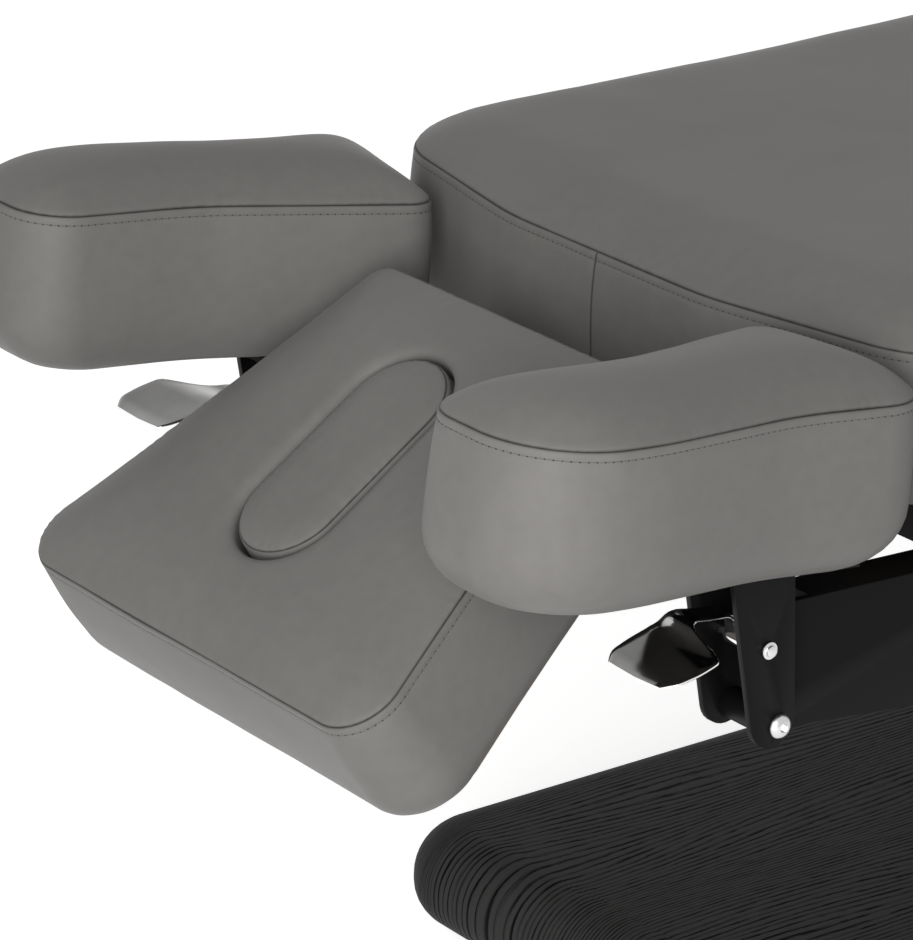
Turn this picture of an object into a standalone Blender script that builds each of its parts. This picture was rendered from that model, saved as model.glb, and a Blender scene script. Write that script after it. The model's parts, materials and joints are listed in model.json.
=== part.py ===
"""Electric beauty bed: cushions on a hinged steel frame, twin lifting columns and a bullnosed base.

Metres, +Z up, head end towards -X, the floor at Z = 0.  Lengths along the bed are measured from the
head seam of the backrest; the root empty moves the whole bed so that its box is centred on X = 0.
"""
import math

import bmesh
import bpy
from mathutils import Matrix, Vector

# Gaps between neighbouring pieces
FIT = 0.0003
PIN_CLEARANCE = 0.0003
OVERCUT = 0.010
OVERLAP = 0.001
BOLT_FACETS = 16

# Flat cushions
SEAM_HEIGHT = 0.620
BED_WIDTH = 0.660
BACK_LENGTH = 0.620
SEAT_LENGTH = 0.400
LEG_LENGTH = 0.556
SECTION_GAP = 0.016
BAND = 0.100
CROWN = 0.014
SEAM_DRAW = 0.003
EDGE_TUCK = 0.012
TUCK_ROUND = 0.3
BAND_FULL = 0.6
SHOULDER = 0.86
SHOULDER_DRAW = 0.4
CROWN_STEPS = (0.05, 0.16, 0.36, 0.62)
HEAD_FLAT = 0.112
HEAD_SETBACK = 0.042
HEAD_SHOULDER = 0.250
HEAD_CORNER = 0.092
SECTION_CORNER = 0.060
FOOT_CORNER = 0.075
SIDE_DRAW = 0.003

# Boards and section frames
BOARD = 0.015
BOARD_INSET = 0.022
RAIL_HEIGHT = 0.030
RAIL_WIDTH = 0.040
RAIL_INNER = 0.150
TUBE_CORNER = 0.004
HEAD_TUBE_X = 0.030
ARM_BAR_X = 0.130
ARM_BAR_SIZE = 0.040
LEG_RAIL_SHORT = 0.040

# Headrest
REST_TILT = math.radians(33.7)
REST_LENGTH = 0.330
REST_REAR_WIDTH = 0.284
REST_HEAD_WIDTH = 0.440
REST_REAR_CORNER = 0.024
REST_HEAD_CORNER = 0.042
REST_BOARD = 0.012
REST_BOARD_INSET = 0.026
REST_TUCK = 0.018
REST_STRAP = 0.005
REST_STRAP_WIDTH = 0.030
REST_STRAP_REACH = 0.150
REST_HINGE_AHEAD = 0.016
REST_HINGE_DROP = 0.022
REST_HINGE_OFFSET = 0.100
REST_EYE = 0.010
REST_ROD = 0.005
REST_CHEEK = 0.006
REST_REAR_SETBACK = 0.0033
SLOT_LENGTH = 0.190
SLOT_WIDTH = 0.092
SLOT_FROM_REAR = 0.155
SLOT_GAP = 0.0015
SLOT_LEDGE = 0.010
PLUG_PROUD = 0.003
PLUG_EDGE = 0.016
COLLAR = 0.003
COLLAR_THICKNESS = 0.0035
ROD_STANDOUT = 0.004

# Armrests
ARM_PITCH = math.radians(6.3)
ARM_SEAM_DROP = 0.009
ARM_BAND = 0.120
ARM_CROWN = 0.026
ARM_TUCK = 0.022
# Corners of the armrest's plan from its inner head corner round the foot end: x, y and corner radius
ARM_PLAN = (
    (-0.343, 0.220, 0.045), (-0.190, 0.220, 0.250), (-0.006, 0.171, 0.022), (0.038, 0.352, 0.045),
    (-0.095, 0.345, 0.250), (-0.225, 0.367, 0.300), (-0.343, 0.369, 0.080))

# Armrest clevis, carrier and release lever
BOLT_AHEAD = 0.0726
BOLT_DROP = 0.2365
BOLT_RADIUS = 0.005
BOLT_HEAD = 0.00875
CHEEK_OUTER = 0.296
CHEEK_SPAN = 0.056
CHEEK = 0.005
CLEVIS_PLATE = 0.005
CLEVIS_HALF_LENGTH = 0.060
CLEVIS_INNER_MARGIN = 0.012
CLEVIS_OUTER_MARGIN = 0.008
CHEEK_HEADWARD = 0.042
CHEEK_FOOTWARD = 0.011
CHEEK_END = 0.0185
CHEEK_END_SHIFT = (-0.005, 0.004)
BOLT_HEAD_HEIGHT = 0.0055
NUT_RADIUS = 0.0095
NUT_HEIGHT = 0.009
CARRIER_OUTER = 0.283
CARRIER_WIDTH = 0.036
CARRIER_LUG = 0.006
CARRIER_FOOT = 0.200
CARRIER_START = 0.038
CARRIER_RISE = 0.0811
CARRIER_FALL = 0.0078
CARRIER_TOP_SLOPE = 0.041
CARRIER_BOTTOM_SLOPE = 0.1118
CARRIER_NOSE = 0.012
CARRIER_NOSE_EDGE = 0.005
HUB_RADIUS = 0.011
LEVER_PIN_AHEAD = 0.010
LEVER_PIN_RISE = 0.057
LEVER_PIN_RADIUS = 0.004
LEVER_SHEET = 0.0032
LEVER_HUB = 0.008
LEVER_HUB_INNER = 0.2575
LEVER_HUB_OUTER = 0.2745
# Strip of the lever from its hub to the paddle's tip: offsets from the bolt, then inner and outer edge
LEVER_STRIP = (
    (-0.0160, 0.0690, 0.257, 0.275), (-0.0260, 0.0790, 0.257, 0.276), (-0.0450, 0.0815, 0.257, 0.278),
    (-0.0600, 0.0850, 0.257, 0.281), (-0.0680, 0.0835, 0.257, 0.286), (-0.0745, 0.0790, 0.258, 0.319),
    (-0.0800, 0.0765, 0.259, 0.335), (-0.0990, 0.0725, 0.260, 0.337), (-0.1160, 0.0690, 0.263, 0.335),
    (-0.1240, 0.0660, 0.271, 0.326))
LEVER_STEM = ((-0.0140, 0.0580), (-0.0060, 0.0600), (-0.0130, 0.0715), (-0.0190, 0.0710))
CLIP_RADIUS = 0.006
CLIP_THICKNESS = 0.0013

# Backrest hinge
HINGE_DROP = 0.015
HINGE_LUG = 0.006
HINGE_LUG_END = 0.011
HINGE_LUG_INSET = 0.0170
HINGE_BOLT = 0.005
HINGE_SETBACK = 0.025
HINGE_HEAD = 0.0087
HINGE_HEAD_HEIGHT = 0.005
HINGE_NUT = 0.0090
HINGE_NUT_HEIGHT = 0.008

# Leg hinge
LEG_LUG = 0.008
LEG_ROD = 0.006
LEG_LUG_GAP = 0.005
FOOT_BEARER_SETBACK = 0.060

# Lifting gear
SPINE_WIDTH = 0.120
SPINE_HEIGHT = 0.060
SPINE_START = 0.415
SPINE_END_SETBACK = 0.020
COLUMN_HEAD_X = 0.500
COLUMN_FOOT_X = 0.960
COLUMN_WALL = 0.004
COLUMN_GAP = 0.0003
COLUMN_LENGTH = 0.150
COLUMN_WIDTH = 0.130
FLANGE = 0.006
FLANGE_MARGIN = 0.025
FLANGE_CORNER = 0.015
COLUMN_CORNER = 0.016
COLUMN_REVEAL = 0.016
STAGE_REVEAL = 0.007
STAGE_FLOOR = 0.002

# Actuators
ACTUATOR_OFFSET = 0.105
ACTUATOR_TUBE = 0.021
ACTUATOR_ROD = 0.011
ACTUATOR_BORE_GAP = 0.0006
ACTUATOR_EYE = 0.014
ACTUATOR_PIN = 0.006
ACTUATOR_EYE_WIDTH = 0.024
BACK_RADIUS = 0.320
BACK_FIXED_ANGLE = math.radians(292.0)
BACK_MOVING_ANGLE = math.radians(216.0)
BACK_TUBE_LENGTH = 0.330
BACK_ROD_SHORT = 0.036
LEG_RADIUS = 0.220
LEG_FIXED_ANGLE = math.radians(208.0)
LEG_MOVING_ANGLE = math.radians(318.0)
LEG_TUBE_LENGTH = 0.232
LEG_ROD_SHORT = 0.112
TUBE_START = 0.020
BORE_START = 0.028
MOTOR_START = 0.022
MOTOR_END = 0.110
MOTOR_DEPTH = 0.075
MOTOR_BACK = 0.018
MOTOR_CORNER = 0.008
EYE_TAIL = 0.030
ROD_TO_EYE = 0.008
HANGER_HALF = 0.030
HANGER_MARGIN = 0.022
HANGER_NOSE = 0.016
CRANK_LUG = 0.006
PIN_STANDOUT = 0.002
CRANK_END = 0.013
CRANK_GAP = 0.0006
CRANK_ROOT = 0.006
CRANK_TUBE_HEIGHT = 0.021

# Control box
BOX_FROM_COLUMN = 0.102
BOX_LENGTH = 0.120
BOX_WIDTH = 0.160
BOX_HEIGHT = 0.055
BOX_CORNER = 0.010
INLET_WIDTH = 0.028
INLET_HEIGHT = 0.020
INLET_DEPTH = 0.014
INLET_RISE = 0.018

# Base
BASE_TOP = 0.095
BASE_THICKNESS = 0.080
BASE_HEAD = -0.008
BASE_LENGTH = 1.260
BASE_WIDTH = 0.516
BASE_CORNER = 0.060
BASE_ROUND_TOP = 0.042
BASE_ROUND_BOTTOM = 0.034
FOOT_RADIUS = 0.020
FOOT_INSET = 0.060
FOOT_NECK = 0.007
FOOT_PAD = 0.009
FOOT_EDGE = 0.002

# Stations and levels that follow from the sizes above
SIDE = BED_WIDTH / 2
SEAT_START = BACK_LENGTH + SECTION_GAP
LEG_START = SEAT_START + SEAT_LENGTH + SECTION_GAP
FOOT_END = LEG_START + LEG_LENGTH
CUSHION_BOTTOM = SEAM_HEIGHT - BAND
BOARD_TOP = CUSHION_BOTTOM - FIT
BOARD_BOTTOM = BOARD_TOP - BOARD
FRAME_TOP = BOARD_BOTTOM - FIT
FRAME_BOTTOM = FRAME_TOP - RAIL_HEIGHT
RAIL_OUTER = RAIL_INNER + RAIL_WIDTH
BACK_AXIS = (BACK_LENGTH + SECTION_GAP / 2, SEAM_HEIGHT - HINGE_DROP)
LEG_AXIS = (LEG_START - SECTION_GAP / 2, (FRAME_TOP + FRAME_BOTTOM) / 2)
REST_AXIS = (-REST_HINGE_AHEAD, CUSHION_BOTTOM - REST_HINGE_DROP)
BOLT = (-BOLT_AHEAD, SEAM_HEIGHT - BOLT_DROP)
LEVER_PIN = (BOLT[0] - LEVER_PIN_AHEAD, BOLT[1] + LEVER_PIN_RISE)
SPINE_TOP = FRAME_BOTTOM - FIT
SPINE_BOTTOM = SPINE_TOP - SPINE_HEIGHT
REST_BOTTOM = REST_STRAP + FIT + REST_BOARD + FIT
REST_SEAM = REST_BOTTOM + BAND
REST_TIP = (REST_REAR_SETBACK + REST_LENGTH) * math.cos(REST_TILT) + REST_SEAM * math.sin(REST_TILT)
HEAD_REACH = REST_HINGE_AHEAD + REST_TIP
BED_SHIFT = (HEAD_REACH - FOOT_END) / 2

for leftover in list(bpy.data.objects):
    bpy.data.objects.remove(leftover)


# Materials, one per kind of surface
def surface(name, colour, roughness, metallic=0.0):
    material = bpy.data.materials.new(name)
    material.use_nodes = True
    shader = material.node_tree.nodes["Principled BSDF"]
    shader.inputs["Base Color"].default_value = (*colour, 1.0)
    shader.inputs["Roughness"].default_value = roughness
    shader.inputs["Metallic"].default_value = metallic
    return material


grey_leather = surface("grey_leather", (0.135, 0.130, 0.124), 0.45)
black_steel = surface("black_steel", (0.012, 0.012, 0.013), 0.40)
chrome = surface("chrome", (0.72, 0.72, 0.72), 0.08, 1.0)
zinc_steel = surface("zinc_steel", (0.55, 0.55, 0.54), 0.30, 1.0)
birch_board = surface("birch_board", (0.42, 0.30, 0.18), 0.60)
black_veneer = surface("black_veneer", (0.020, 0.019, 0.018), 0.50)
black_plastic = surface("black_plastic", (0.018, 0.018, 0.019), 0.45)
black_rubber = surface("black_rubber", (0.015, 0.015, 0.015), 0.80)


# Shape tools: every tool returns a plain object that later steps join, cut or finish
def shape(mesh_data):
    mesh = bpy.data.meshes.new("shape")
    bmesh.ops.recalc_face_normals(mesh_data, faces=mesh_data.faces)
    mesh_data.to_mesh(mesh)
    mesh_data.free()
    thing = bpy.data.objects.new("shape", mesh)
    bpy.context.scene.collection.objects.link(thing)
    return thing


def prism(points, start, end, axis="Y"):
    """Extrude a flat outline: (x, z) points along Y, (x, y) along Z or (y, z) along X."""
    place = {"X": lambda a, b, t: (t, a, b),
             "Y": lambda a, b, t: (a, t, b),
             "Z": lambda a, b, t: (a, b, t)}[axis]
    mesh_data = bmesh.new()
    floor = [mesh_data.verts.new(place(a, b, min(start, end))) for a, b in points]
    bottom = mesh_data.faces.new(floor)
    moved = bmesh.ops.extrude_face_region(mesh_data, geom=[bottom])["geom"]
    step = Vector(place(0.0, 0.0, abs(end - start)))
    bmesh.ops.translate(mesh_data, vec=step, verts=[v for v in moved if isinstance(v, bmesh.types.BMVert)])
    return shape(mesh_data)


def block(x0, x1, y0, y1, z0, z1):
    return prism([(x0, z0), (x1, z0), (x1, z1), (x0, z1)], y0, y1)


def tube(x0, x1, y0, y1, z0, z1, axis):
    """Capped steel tube with rounded edges, running along X or Y."""
    low, high = (min(y0, y1), max(y0, y1)) if axis == "X" else (x0, x1)
    corners = [(low, z0), (high, z0), (high, z1), (low, z1)]
    section = rounded_outline(corners, [TUBE_CORNER] * 4, [0.0] * 4, 3, 1)
    return prism(section, x0, x1, "X") if axis == "X" else prism(section, y0, y1)


def circle(centre, radius, steps=24, start=0.0, sweep=2 * math.pi):
    count = steps if sweep >= 2 * math.pi else steps + 1
    return [(centre[0] + radius * math.cos(start + sweep * i / steps),
             centre[1] + radius * math.sin(start + sweep * i / steps)) for i in range(count)]


def pin(centre, radius, start, end, steps=24):
    return prism(circle(centre, radius, steps), start, end)


def combine(target, tool, operation):
    modifier = target.modifiers.new("combine", "BOOLEAN")
    modifier.object = tool
    modifier.operation = operation
    modifier.solver = "EXACT"
    bpy.context.view_layer.update()
    evaluated = target.evaluated_get(bpy.context.evaluated_depsgraph_get())
    result = bpy.data.meshes.new_from_object(evaluated)
    target.modifiers.clear()
    target.data = result
    bpy.data.objects.remove(tool)
    return target


def join(target, *tools):
    for tool in tools:
        combine(target, tool, "UNION")
    return target


def cut(target, *tools):
    for tool in tools:
        combine(target, tool, "DIFFERENCE")
    return target


def turned(thing, matrix):
    thing.data.transform(matrix)
    return thing


# Moving bodies: an empty stands on each joint axis and carries the pieces that move with it
root = bpy.data.objects.new("bed", None)
root.location = (BED_SHIFT, 0.0, 0.0)
bpy.context.scene.collection.objects.link(root)
bodies = {}


def body(name, x, y, z, parent=None):
    empty = bpy.data.objects.new(name + "_axis", None)
    bpy.context.scene.collection.objects.link(empty)
    empty.parent = bodies[parent][0] if parent else root
    place = Vector((x, y, z))
    empty.location = place - (bodies[parent][1] if parent else Vector())
    bodies[name] = (empty, place)


def node(name, thing, material, carrier, smooth=35.0):
    """Name a finished shape, clean it, shade it and hang it on its body."""
    mesh_data = bmesh.new()
    mesh_data.from_mesh(thing.data)
    bmesh.ops.remove_doubles(mesh_data, verts=mesh_data.verts, dist=0.00001)
    bmesh.ops.dissolve_degenerate(mesh_data, edges=mesh_data.edges, dist=0.00001)
    bmesh.ops.recalc_face_normals(mesh_data, faces=mesh_data.faces)
    mesh_data.to_mesh(thing.data)
    mesh_data.free()
    thing.data.materials.clear()
    thing.data.materials.append(material)
    thing.data.shade_smooth()
    thing.data.set_sharp_from_angle(angle=math.radians(smooth))
    thing.name = name
    thing.data.name = name
    empty, place = bodies[carrier]
    thing.parent = empty
    thing.matrix_parent_inverse = Matrix.Translation(-place)
    return thing


# Cushion tools: a rounded plan outline is lofted through a tucked bottom, a full band and a crown
def rounded_outline(corners, radii, bows, arc_steps=7, edge_steps=4):
    """Plan outline with arc corners, arc_steps to a right angle; a positive bow draws an edge in."""
    arcs = []
    count = len(corners)
    for i in range(count):
        here = Vector(corners[i])
        before = (Vector(corners[i - 1]) - here).normalized()
        after = (Vector(corners[(i + 1) % count]) - here).normalized()
        half = before.angle(after) / 2
        middle = here + (before + after).normalized() * (radii[i] / math.sin(half))
        first = here + before * (radii[i] / math.tan(half)) - middle
        sweep = first.angle_signed(here + after * (radii[i] / math.tan(half)) - middle)
        turn = math.atan2(first.y, first.x)
        steps = max(2, round(arc_steps * abs(sweep) / (math.pi / 2)))
        arcs.append([middle + radii[i] * Vector((math.cos(turn - sweep * k / steps),
                                                 math.sin(turn - sweep * k / steps)))
                     for k in range(steps + 1)])
    points = []
    centre = sum((Vector(c) for c in corners), Vector((0.0, 0.0))) / count
    for i in range(count):
        points += arcs[i]
        start, end = arcs[i][-1], arcs[(i + 1) % count][0]
        inward = (end - start).orthogonal().normalized()
        if inward.dot(centre - start) < 0:
            inward.negate()
        for k in range(1, edge_steps if bows[i] else 1):
            t = k / edge_steps
            points.append(start.lerp(end, t) + inward * bows[i] * 4 * t * (1 - t))
    return [(p.x, p.y) for p in points]


def inset_ring(outline, inset):
    """Shrink an outline about the middle of its box by the same inset on every side."""
    xs = [p[0] for p in outline]
    ys = [p[1] for p in outline]
    middle = ((max(xs) + min(xs)) / 2, (max(ys) + min(ys)) / 2)
    half = ((max(xs) - min(xs)) / 2, (max(ys) - min(ys)) / 2)
    return [(middle[0] + (p[0] - middle[0]) * (1 - inset / half[0]),
             middle[1] + (p[1] - middle[1]) * (1 - inset / half[1])) for p in outline]


def loft(outline, profile):
    mesh_data = bmesh.new()
    rings = [[mesh_data.verts.new((x, y, z)) for x, y in inset_ring(outline, inset)] for inset, z in profile]
    mesh_data.faces.new(rings[0])
    mesh_data.faces.new(rings[-1])
    count = len(outline)
    for low, high in zip(rings, rings[1:]):
        for i in range(count):
            mesh_data.faces.new((low[i], low[(i + 1) % count], high[(i + 1) % count], high[i]))
    return shape(mesh_data)


def cushion(outline, bottom, band, crown, tuck):
    """Boxed cushion: bottom edge tucked under, band full at mid height, seam drawn in, top crowned."""
    ys = [p[1] for p in outline]
    reach = (max(ys) - min(ys)) / 2 - SEAM_DRAW
    profile = [(tuck, 0.0), (tuck * TUCK_ROUND, tuck * TUCK_ROUND), (0.0, tuck), (0.0, band * BAND_FULL),
               (SEAM_DRAW * SHOULDER_DRAW, band * SHOULDER), (SEAM_DRAW, band)]
    for spread in CROWN_STEPS:
        rise = 1 - (1 - spread / CROWN_STEPS[-1]) ** 2
        profile.append((SEAM_DRAW + reach * spread, band + crown * rise))
    return loft(outline, [(inset, bottom + z) for inset, z in profile])


def plate(outline, bottom, top):
    return prism(outline, bottom, top, "Z")


body("base", 0.0, 0.0, 0.0)
body("column_head_middle", COLUMN_HEAD_X, 0.0, BASE_TOP)
body("column_foot_middle", COLUMN_FOOT_X, 0.0, BASE_TOP)
body("top_frame", COLUMN_HEAD_X, 0.0, BASE_TOP)
body("backrest", BACK_AXIS[0], 0.0, BACK_AXIS[1], "top_frame")
body("headrest", REST_AXIS[0], 0.0, REST_AXIS[1], "backrest")
body("face_plug", REST_AXIS[0], 0.0, REST_AXIS[1], "headrest")
body("leg_section", LEG_AXIS[0], 0.0, LEG_AXIS[1], "top_frame")
SIDES = tuple(zip(("left", "right"), (1, -1)))
for side_name, side in SIDES:
    body("armrest_" + side_name, BOLT[0], side * CHEEK_OUTER, BOLT[1], "backrest")
    body("lever_" + side_name, LEVER_PIN[0], side * CHEEK_OUTER, LEVER_PIN[1], "armrest_" + side_name)


# Base: veneered platform with a bullnose all round, on four levelling feet
base_bottom = BASE_TOP - BASE_THICKNESS
base_foot = BASE_HEAD + BASE_LENGTH
half_base = BASE_WIDTH / 2
base_plan = rounded_outline([(BASE_HEAD, -half_base), (base_foot, -half_base), (base_foot, half_base),
                             (BASE_HEAD, half_base)], [BASE_CORNER] * 4, [0.0] * 4, 6)
nose_turns = [math.pi / 2 * step / 4 for step in range(5)]
base_profile = [(BASE_ROUND_BOTTOM * (1 - math.sin(turn)),
                 base_bottom + BASE_ROUND_BOTTOM * (1 - math.cos(turn))) for turn in nose_turns]
base_profile += [(BASE_ROUND_TOP * (1 - math.cos(turn)), BASE_TOP - BASE_ROUND_TOP * (1 - math.sin(turn)))
                 for turn in nose_turns]
node("base_platform", loft(base_plan, base_profile), black_veneer, "base")
for end_name, foot_x in (("head", BASE_HEAD + FOOT_INSET), ("foot", base_foot - FOOT_INSET)):
    for side_name, side in SIDES:
        foot_y = side * (half_base - FOOT_INSET)
        pad = loft(circle((foot_x, foot_y), FOOT_RADIUS, 24),
                   [(FOOT_EDGE, 0.0), (0.0, FOOT_EDGE), (0.0, FOOT_PAD), (FOOT_NECK, FOOT_PAD + FOOT_EDGE),
                    (FOOT_NECK, base_bottom - FIT)])
        node("levelling_foot_%s_%s" % (end_name, side_name), pad, black_rubber, "base")


# Lifting columns: three telescopic stages each, the outer one flanged to the base
def column_plan(x, shrink):
    half_x = COLUMN_LENGTH / 2 - shrink
    half_y = COLUMN_WIDTH / 2 - shrink
    corner = COLUMN_CORNER - shrink / 2
    corners = [(x - half_x, -half_y), (x + half_x, -half_y), (x + half_x, half_y), (x - half_x, half_y)]
    return rounded_outline(corners, [corner] * 4, [0.0] * 4, 4, 1)


stage = COLUMN_WALL + COLUMN_GAP
outer_low = BASE_TOP + FIT
outer_high = SPINE_BOTTOM - FIT - FLANGE - COLUMN_REVEAL
flange_x = COLUMN_LENGTH / 2 + FLANGE_MARGIN
flange_y = COLUMN_WIDTH / 2 + FLANGE_MARGIN
for end_name, column_x in (("head", COLUMN_HEAD_X), ("foot", COLUMN_FOOT_X)):
    flange = plate(rounded_outline([(column_x - flange_x, -flange_y), (column_x + flange_x, -flange_y),
                                    (column_x + flange_x, flange_y), (column_x - flange_x, flange_y)],
                                   [FLANGE_CORNER] * 4, [0.0] * 4, 4, 1), outer_low, outer_low + FLANGE)
    outer = join(plate(column_plan(column_x, 0.0), outer_low, outer_high), flange)
    cut(outer, plate(column_plan(column_x, COLUMN_WALL), outer_low + FLANGE, outer_high + OVERCUT))
    node("column_%s_outer" % end_name, outer, black_steel, "base")
    middle = plate(column_plan(column_x, stage), outer_low + FLANGE + STAGE_FLOOR, outer_high + STAGE_REVEAL)
    cut(middle, plate(column_plan(column_x, stage + COLUMN_WALL), outer_low, outer_high + 2 * OVERCUT))
    node("column_%s_middle" % end_name, middle, black_steel, "column_%s_middle" % end_name)
    inner = plate(column_plan(column_x, 2 * stage), outer_low + FLANGE + 2 * STAGE_FLOOR, SPINE_BOTTOM - FIT)
    top_plate = plate(column_plan(column_x, 0.0), SPINE_BOTTOM - FIT - FLANGE, SPINE_BOTTOM - FIT)
    cut(inner, plate(column_plan(column_x, 2 * stage + COLUMN_WALL), outer_low, SPINE_BOTTOM - FIT - FLANGE))
    node("column_%s_inner" % end_name, join(inner, top_plate), black_steel, "top_frame")


# Top frame: one spine on both columns, two bearers across it and the hanger for both actuators
spine_end = LEG_AXIS[0] - SPINE_END_SETBACK
half_spine = SPINE_WIDTH / 2
node("main_spine", tube(SPINE_START, spine_end, -half_spine, half_spine, SPINE_BOTTOM, SPINE_TOP, "X"),
     black_steel, "top_frame")

seat_lug_outer = SIDE - HINGE_LUG_INSET
back_lug_inner = seat_lug_outer + 2 * FIT
back_lug_outer = back_lug_inner + HINGE_LUG


def hinge_lug(tube_end, y_inner, y_outer):
    """Bent lug on the end of a tube: along the tube, then up through the corner notch to the axis."""
    x, z = BACK_AXIS
    arc = circle((x, z), HINGE_LUG_END, 14, 0.0, math.pi)
    left, right = x - HINGE_LUG_END, x + HINGE_LUG_END
    if tube_end > x:
        foot = [(left, FRAME_BOTTOM), (tube_end, FRAME_BOTTOM), (tube_end, FRAME_TOP), (right, FRAME_TOP)]
    else:
        foot = [(left, FRAME_TOP), (tube_end, FRAME_TOP), (tube_end, FRAME_BOTTOM), (right, FRAME_BOTTOM)]
    lug = prism(arc + foot, y_inner, y_outer)
    return cut(lug, pin(BACK_AXIS, HINGE_BOLT + PIN_CLEARANCE, -SIDE, SIDE))


bearer_near = BACK_AXIS[0] + HINGE_SETBACK
bearer_far = bearer_near + RAIL_HEIGHT
head_bearer = tube(bearer_near, bearer_far, OVERLAP - seat_lug_outer, seat_lug_outer - OVERLAP,
                   FRAME_BOTTOM, FRAME_TOP, "Y")
for side_name, side in SIDES:
    join(head_bearer, hinge_lug(bearer_far, side * (seat_lug_outer - HINGE_LUG), side * seat_lug_outer))
node("seat_bearer_head", head_bearer, black_steel, "top_frame")

leg_lug_inner = RAIL_OUTER + LEG_LUG_GAP
leg_lug_outer = leg_lug_inner + LEG_LUG
leg_lug_end = RAIL_HEIGHT / 2 - FIT
foot_bearer_x = LEG_AXIS[0] - FOOT_BEARER_SETBACK
foot_bearer = tube(foot_bearer_x, foot_bearer_x + RAIL_HEIGHT, -leg_lug_outer, leg_lug_outer,
                   FRAME_BOTTOM, FRAME_TOP, "Y")
for side_name, side in SIDES:
    lug_root = foot_bearer_x + OVERCUT
    lug = prism(circle(LEG_AXIS, leg_lug_end, 12, -math.pi / 2, math.pi)
                + [(lug_root, LEG_AXIS[1] + leg_lug_end), (lug_root, LEG_AXIS[1] - leg_lug_end)],
                side * leg_lug_inner, side * leg_lug_outer)
    cut(lug, pin(LEG_AXIS, LEG_ROD + PIN_CLEARANCE, -SIDE, SIDE))
    join(foot_bearer, lug)
node("seat_bearer_foot", foot_bearer, black_steel, "top_frame")


def collared_rod(centre, radius, half):
    """Hinge rod with a collar on each end."""
    rod = pin(centre, radius, -half, half, BOLT_FACETS)
    for way in (1.0, -1.0):
        join(rod, pin(centre, radius + COLLAR, way * (half - COLLAR_THICKNESS), way * half, BOLT_FACETS))
    return rod


node("leg_hinge_rod", collared_rod(LEG_AXIS, LEG_ROD, leg_lug_outer + ROD_STANDOUT), zinc_steel, "top_frame")


def polar(centre, radius, angle):
    return (centre[0] + radius * math.cos(angle), centre[1] + radius * math.sin(angle))


back_fixed = polar(BACK_AXIS, BACK_RADIUS, BACK_FIXED_ANGLE)
back_moving = polar(BACK_AXIS, BACK_RADIUS, BACK_MOVING_ANGLE)
leg_fixed = polar(LEG_AXIS, LEG_RADIUS, LEG_FIXED_ANGLE)
leg_moving = polar(LEG_AXIS, LEG_RADIUS, LEG_MOVING_ANGLE)
back_y = -ACTUATOR_OFFSET
leg_y = ACTUATOR_OFFSET
hanger_top = SPINE_BOTTOM - FIT
hanger_view = [(back_fixed[0] - HANGER_MARGIN, hanger_top)]
hanger_view += circle(back_fixed, HANGER_NOSE, 8, math.pi, math.pi / 2)
hanger_view += [(leg_fixed[0] + HANGER_NOSE, leg_fixed[1] - HANGER_NOSE),
                (leg_fixed[0] + HANGER_MARGIN, hanger_top)]
hanger = prism(hanger_view, -HANGER_HALF, HANGER_HALF)
pin_reach = ACTUATOR_OFFSET + ACTUATOR_EYE_WIDTH / 2 + ROD_STANDOUT
join(hanger, pin(back_fixed, ACTUATOR_PIN, -pin_reach, 0.0), pin(leg_fixed, ACTUATOR_PIN, 0.0, pin_reach))
node("actuator_hanger", hanger, black_steel, "top_frame")


# Flat sections: each cushion's skin wraps round its board, which lies in a pocket underneath
head_edge = -SEAM_DRAW
head_side = head_edge + HEAD_SETBACK
sections = (
    ("backrest", "backrest", head_side, BACK_LENGTH,
     (HEAD_CORNER, SECTION_CORNER, SECTION_CORNER, HEAD_CORNER, HEAD_SHOULDER, HEAD_SHOULDER),
     [(head_edge, HEAD_FLAT), (head_edge, -HEAD_FLAT)]),
    ("seat", "top_frame", SEAT_START, SEAT_START + SEAT_LENGTH, (SECTION_CORNER,) * 4, []),
    ("leg", "leg_section", LEG_START, FOOT_END, (SECTION_CORNER, FOOT_CORNER, FOOT_CORNER, SECTION_CORNER), []))
for name, carrier, start, end, corners, nose in sections:
    points = [(start, -SIDE), (end, -SIDE), (end, SIDE), (start, SIDE)] + nose
    outline = rounded_outline(points, corners, [SIDE_DRAW, 0.0, SIDE_DRAW, 0.0, 0.0, 0.0])
    padding = cushion(outline, BOARD_BOTTOM, SEAM_HEIGHT - BOARD_BOTTOM, CROWN, EDGE_TUCK)
    cut(padding, plate(inset_ring(outline, BOARD_INSET - FIT), BOARD_BOTTOM - OVERCUT, CUSHION_BOTTOM))
    node(name + "_cushion", padding, grey_leather, carrier, 50.0)
    board = plate(inset_ring(outline, BOARD_INSET), BOARD_BOTTOM, BOARD_TOP)
    node(name + "_board", board, birch_board, carrier)


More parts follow.
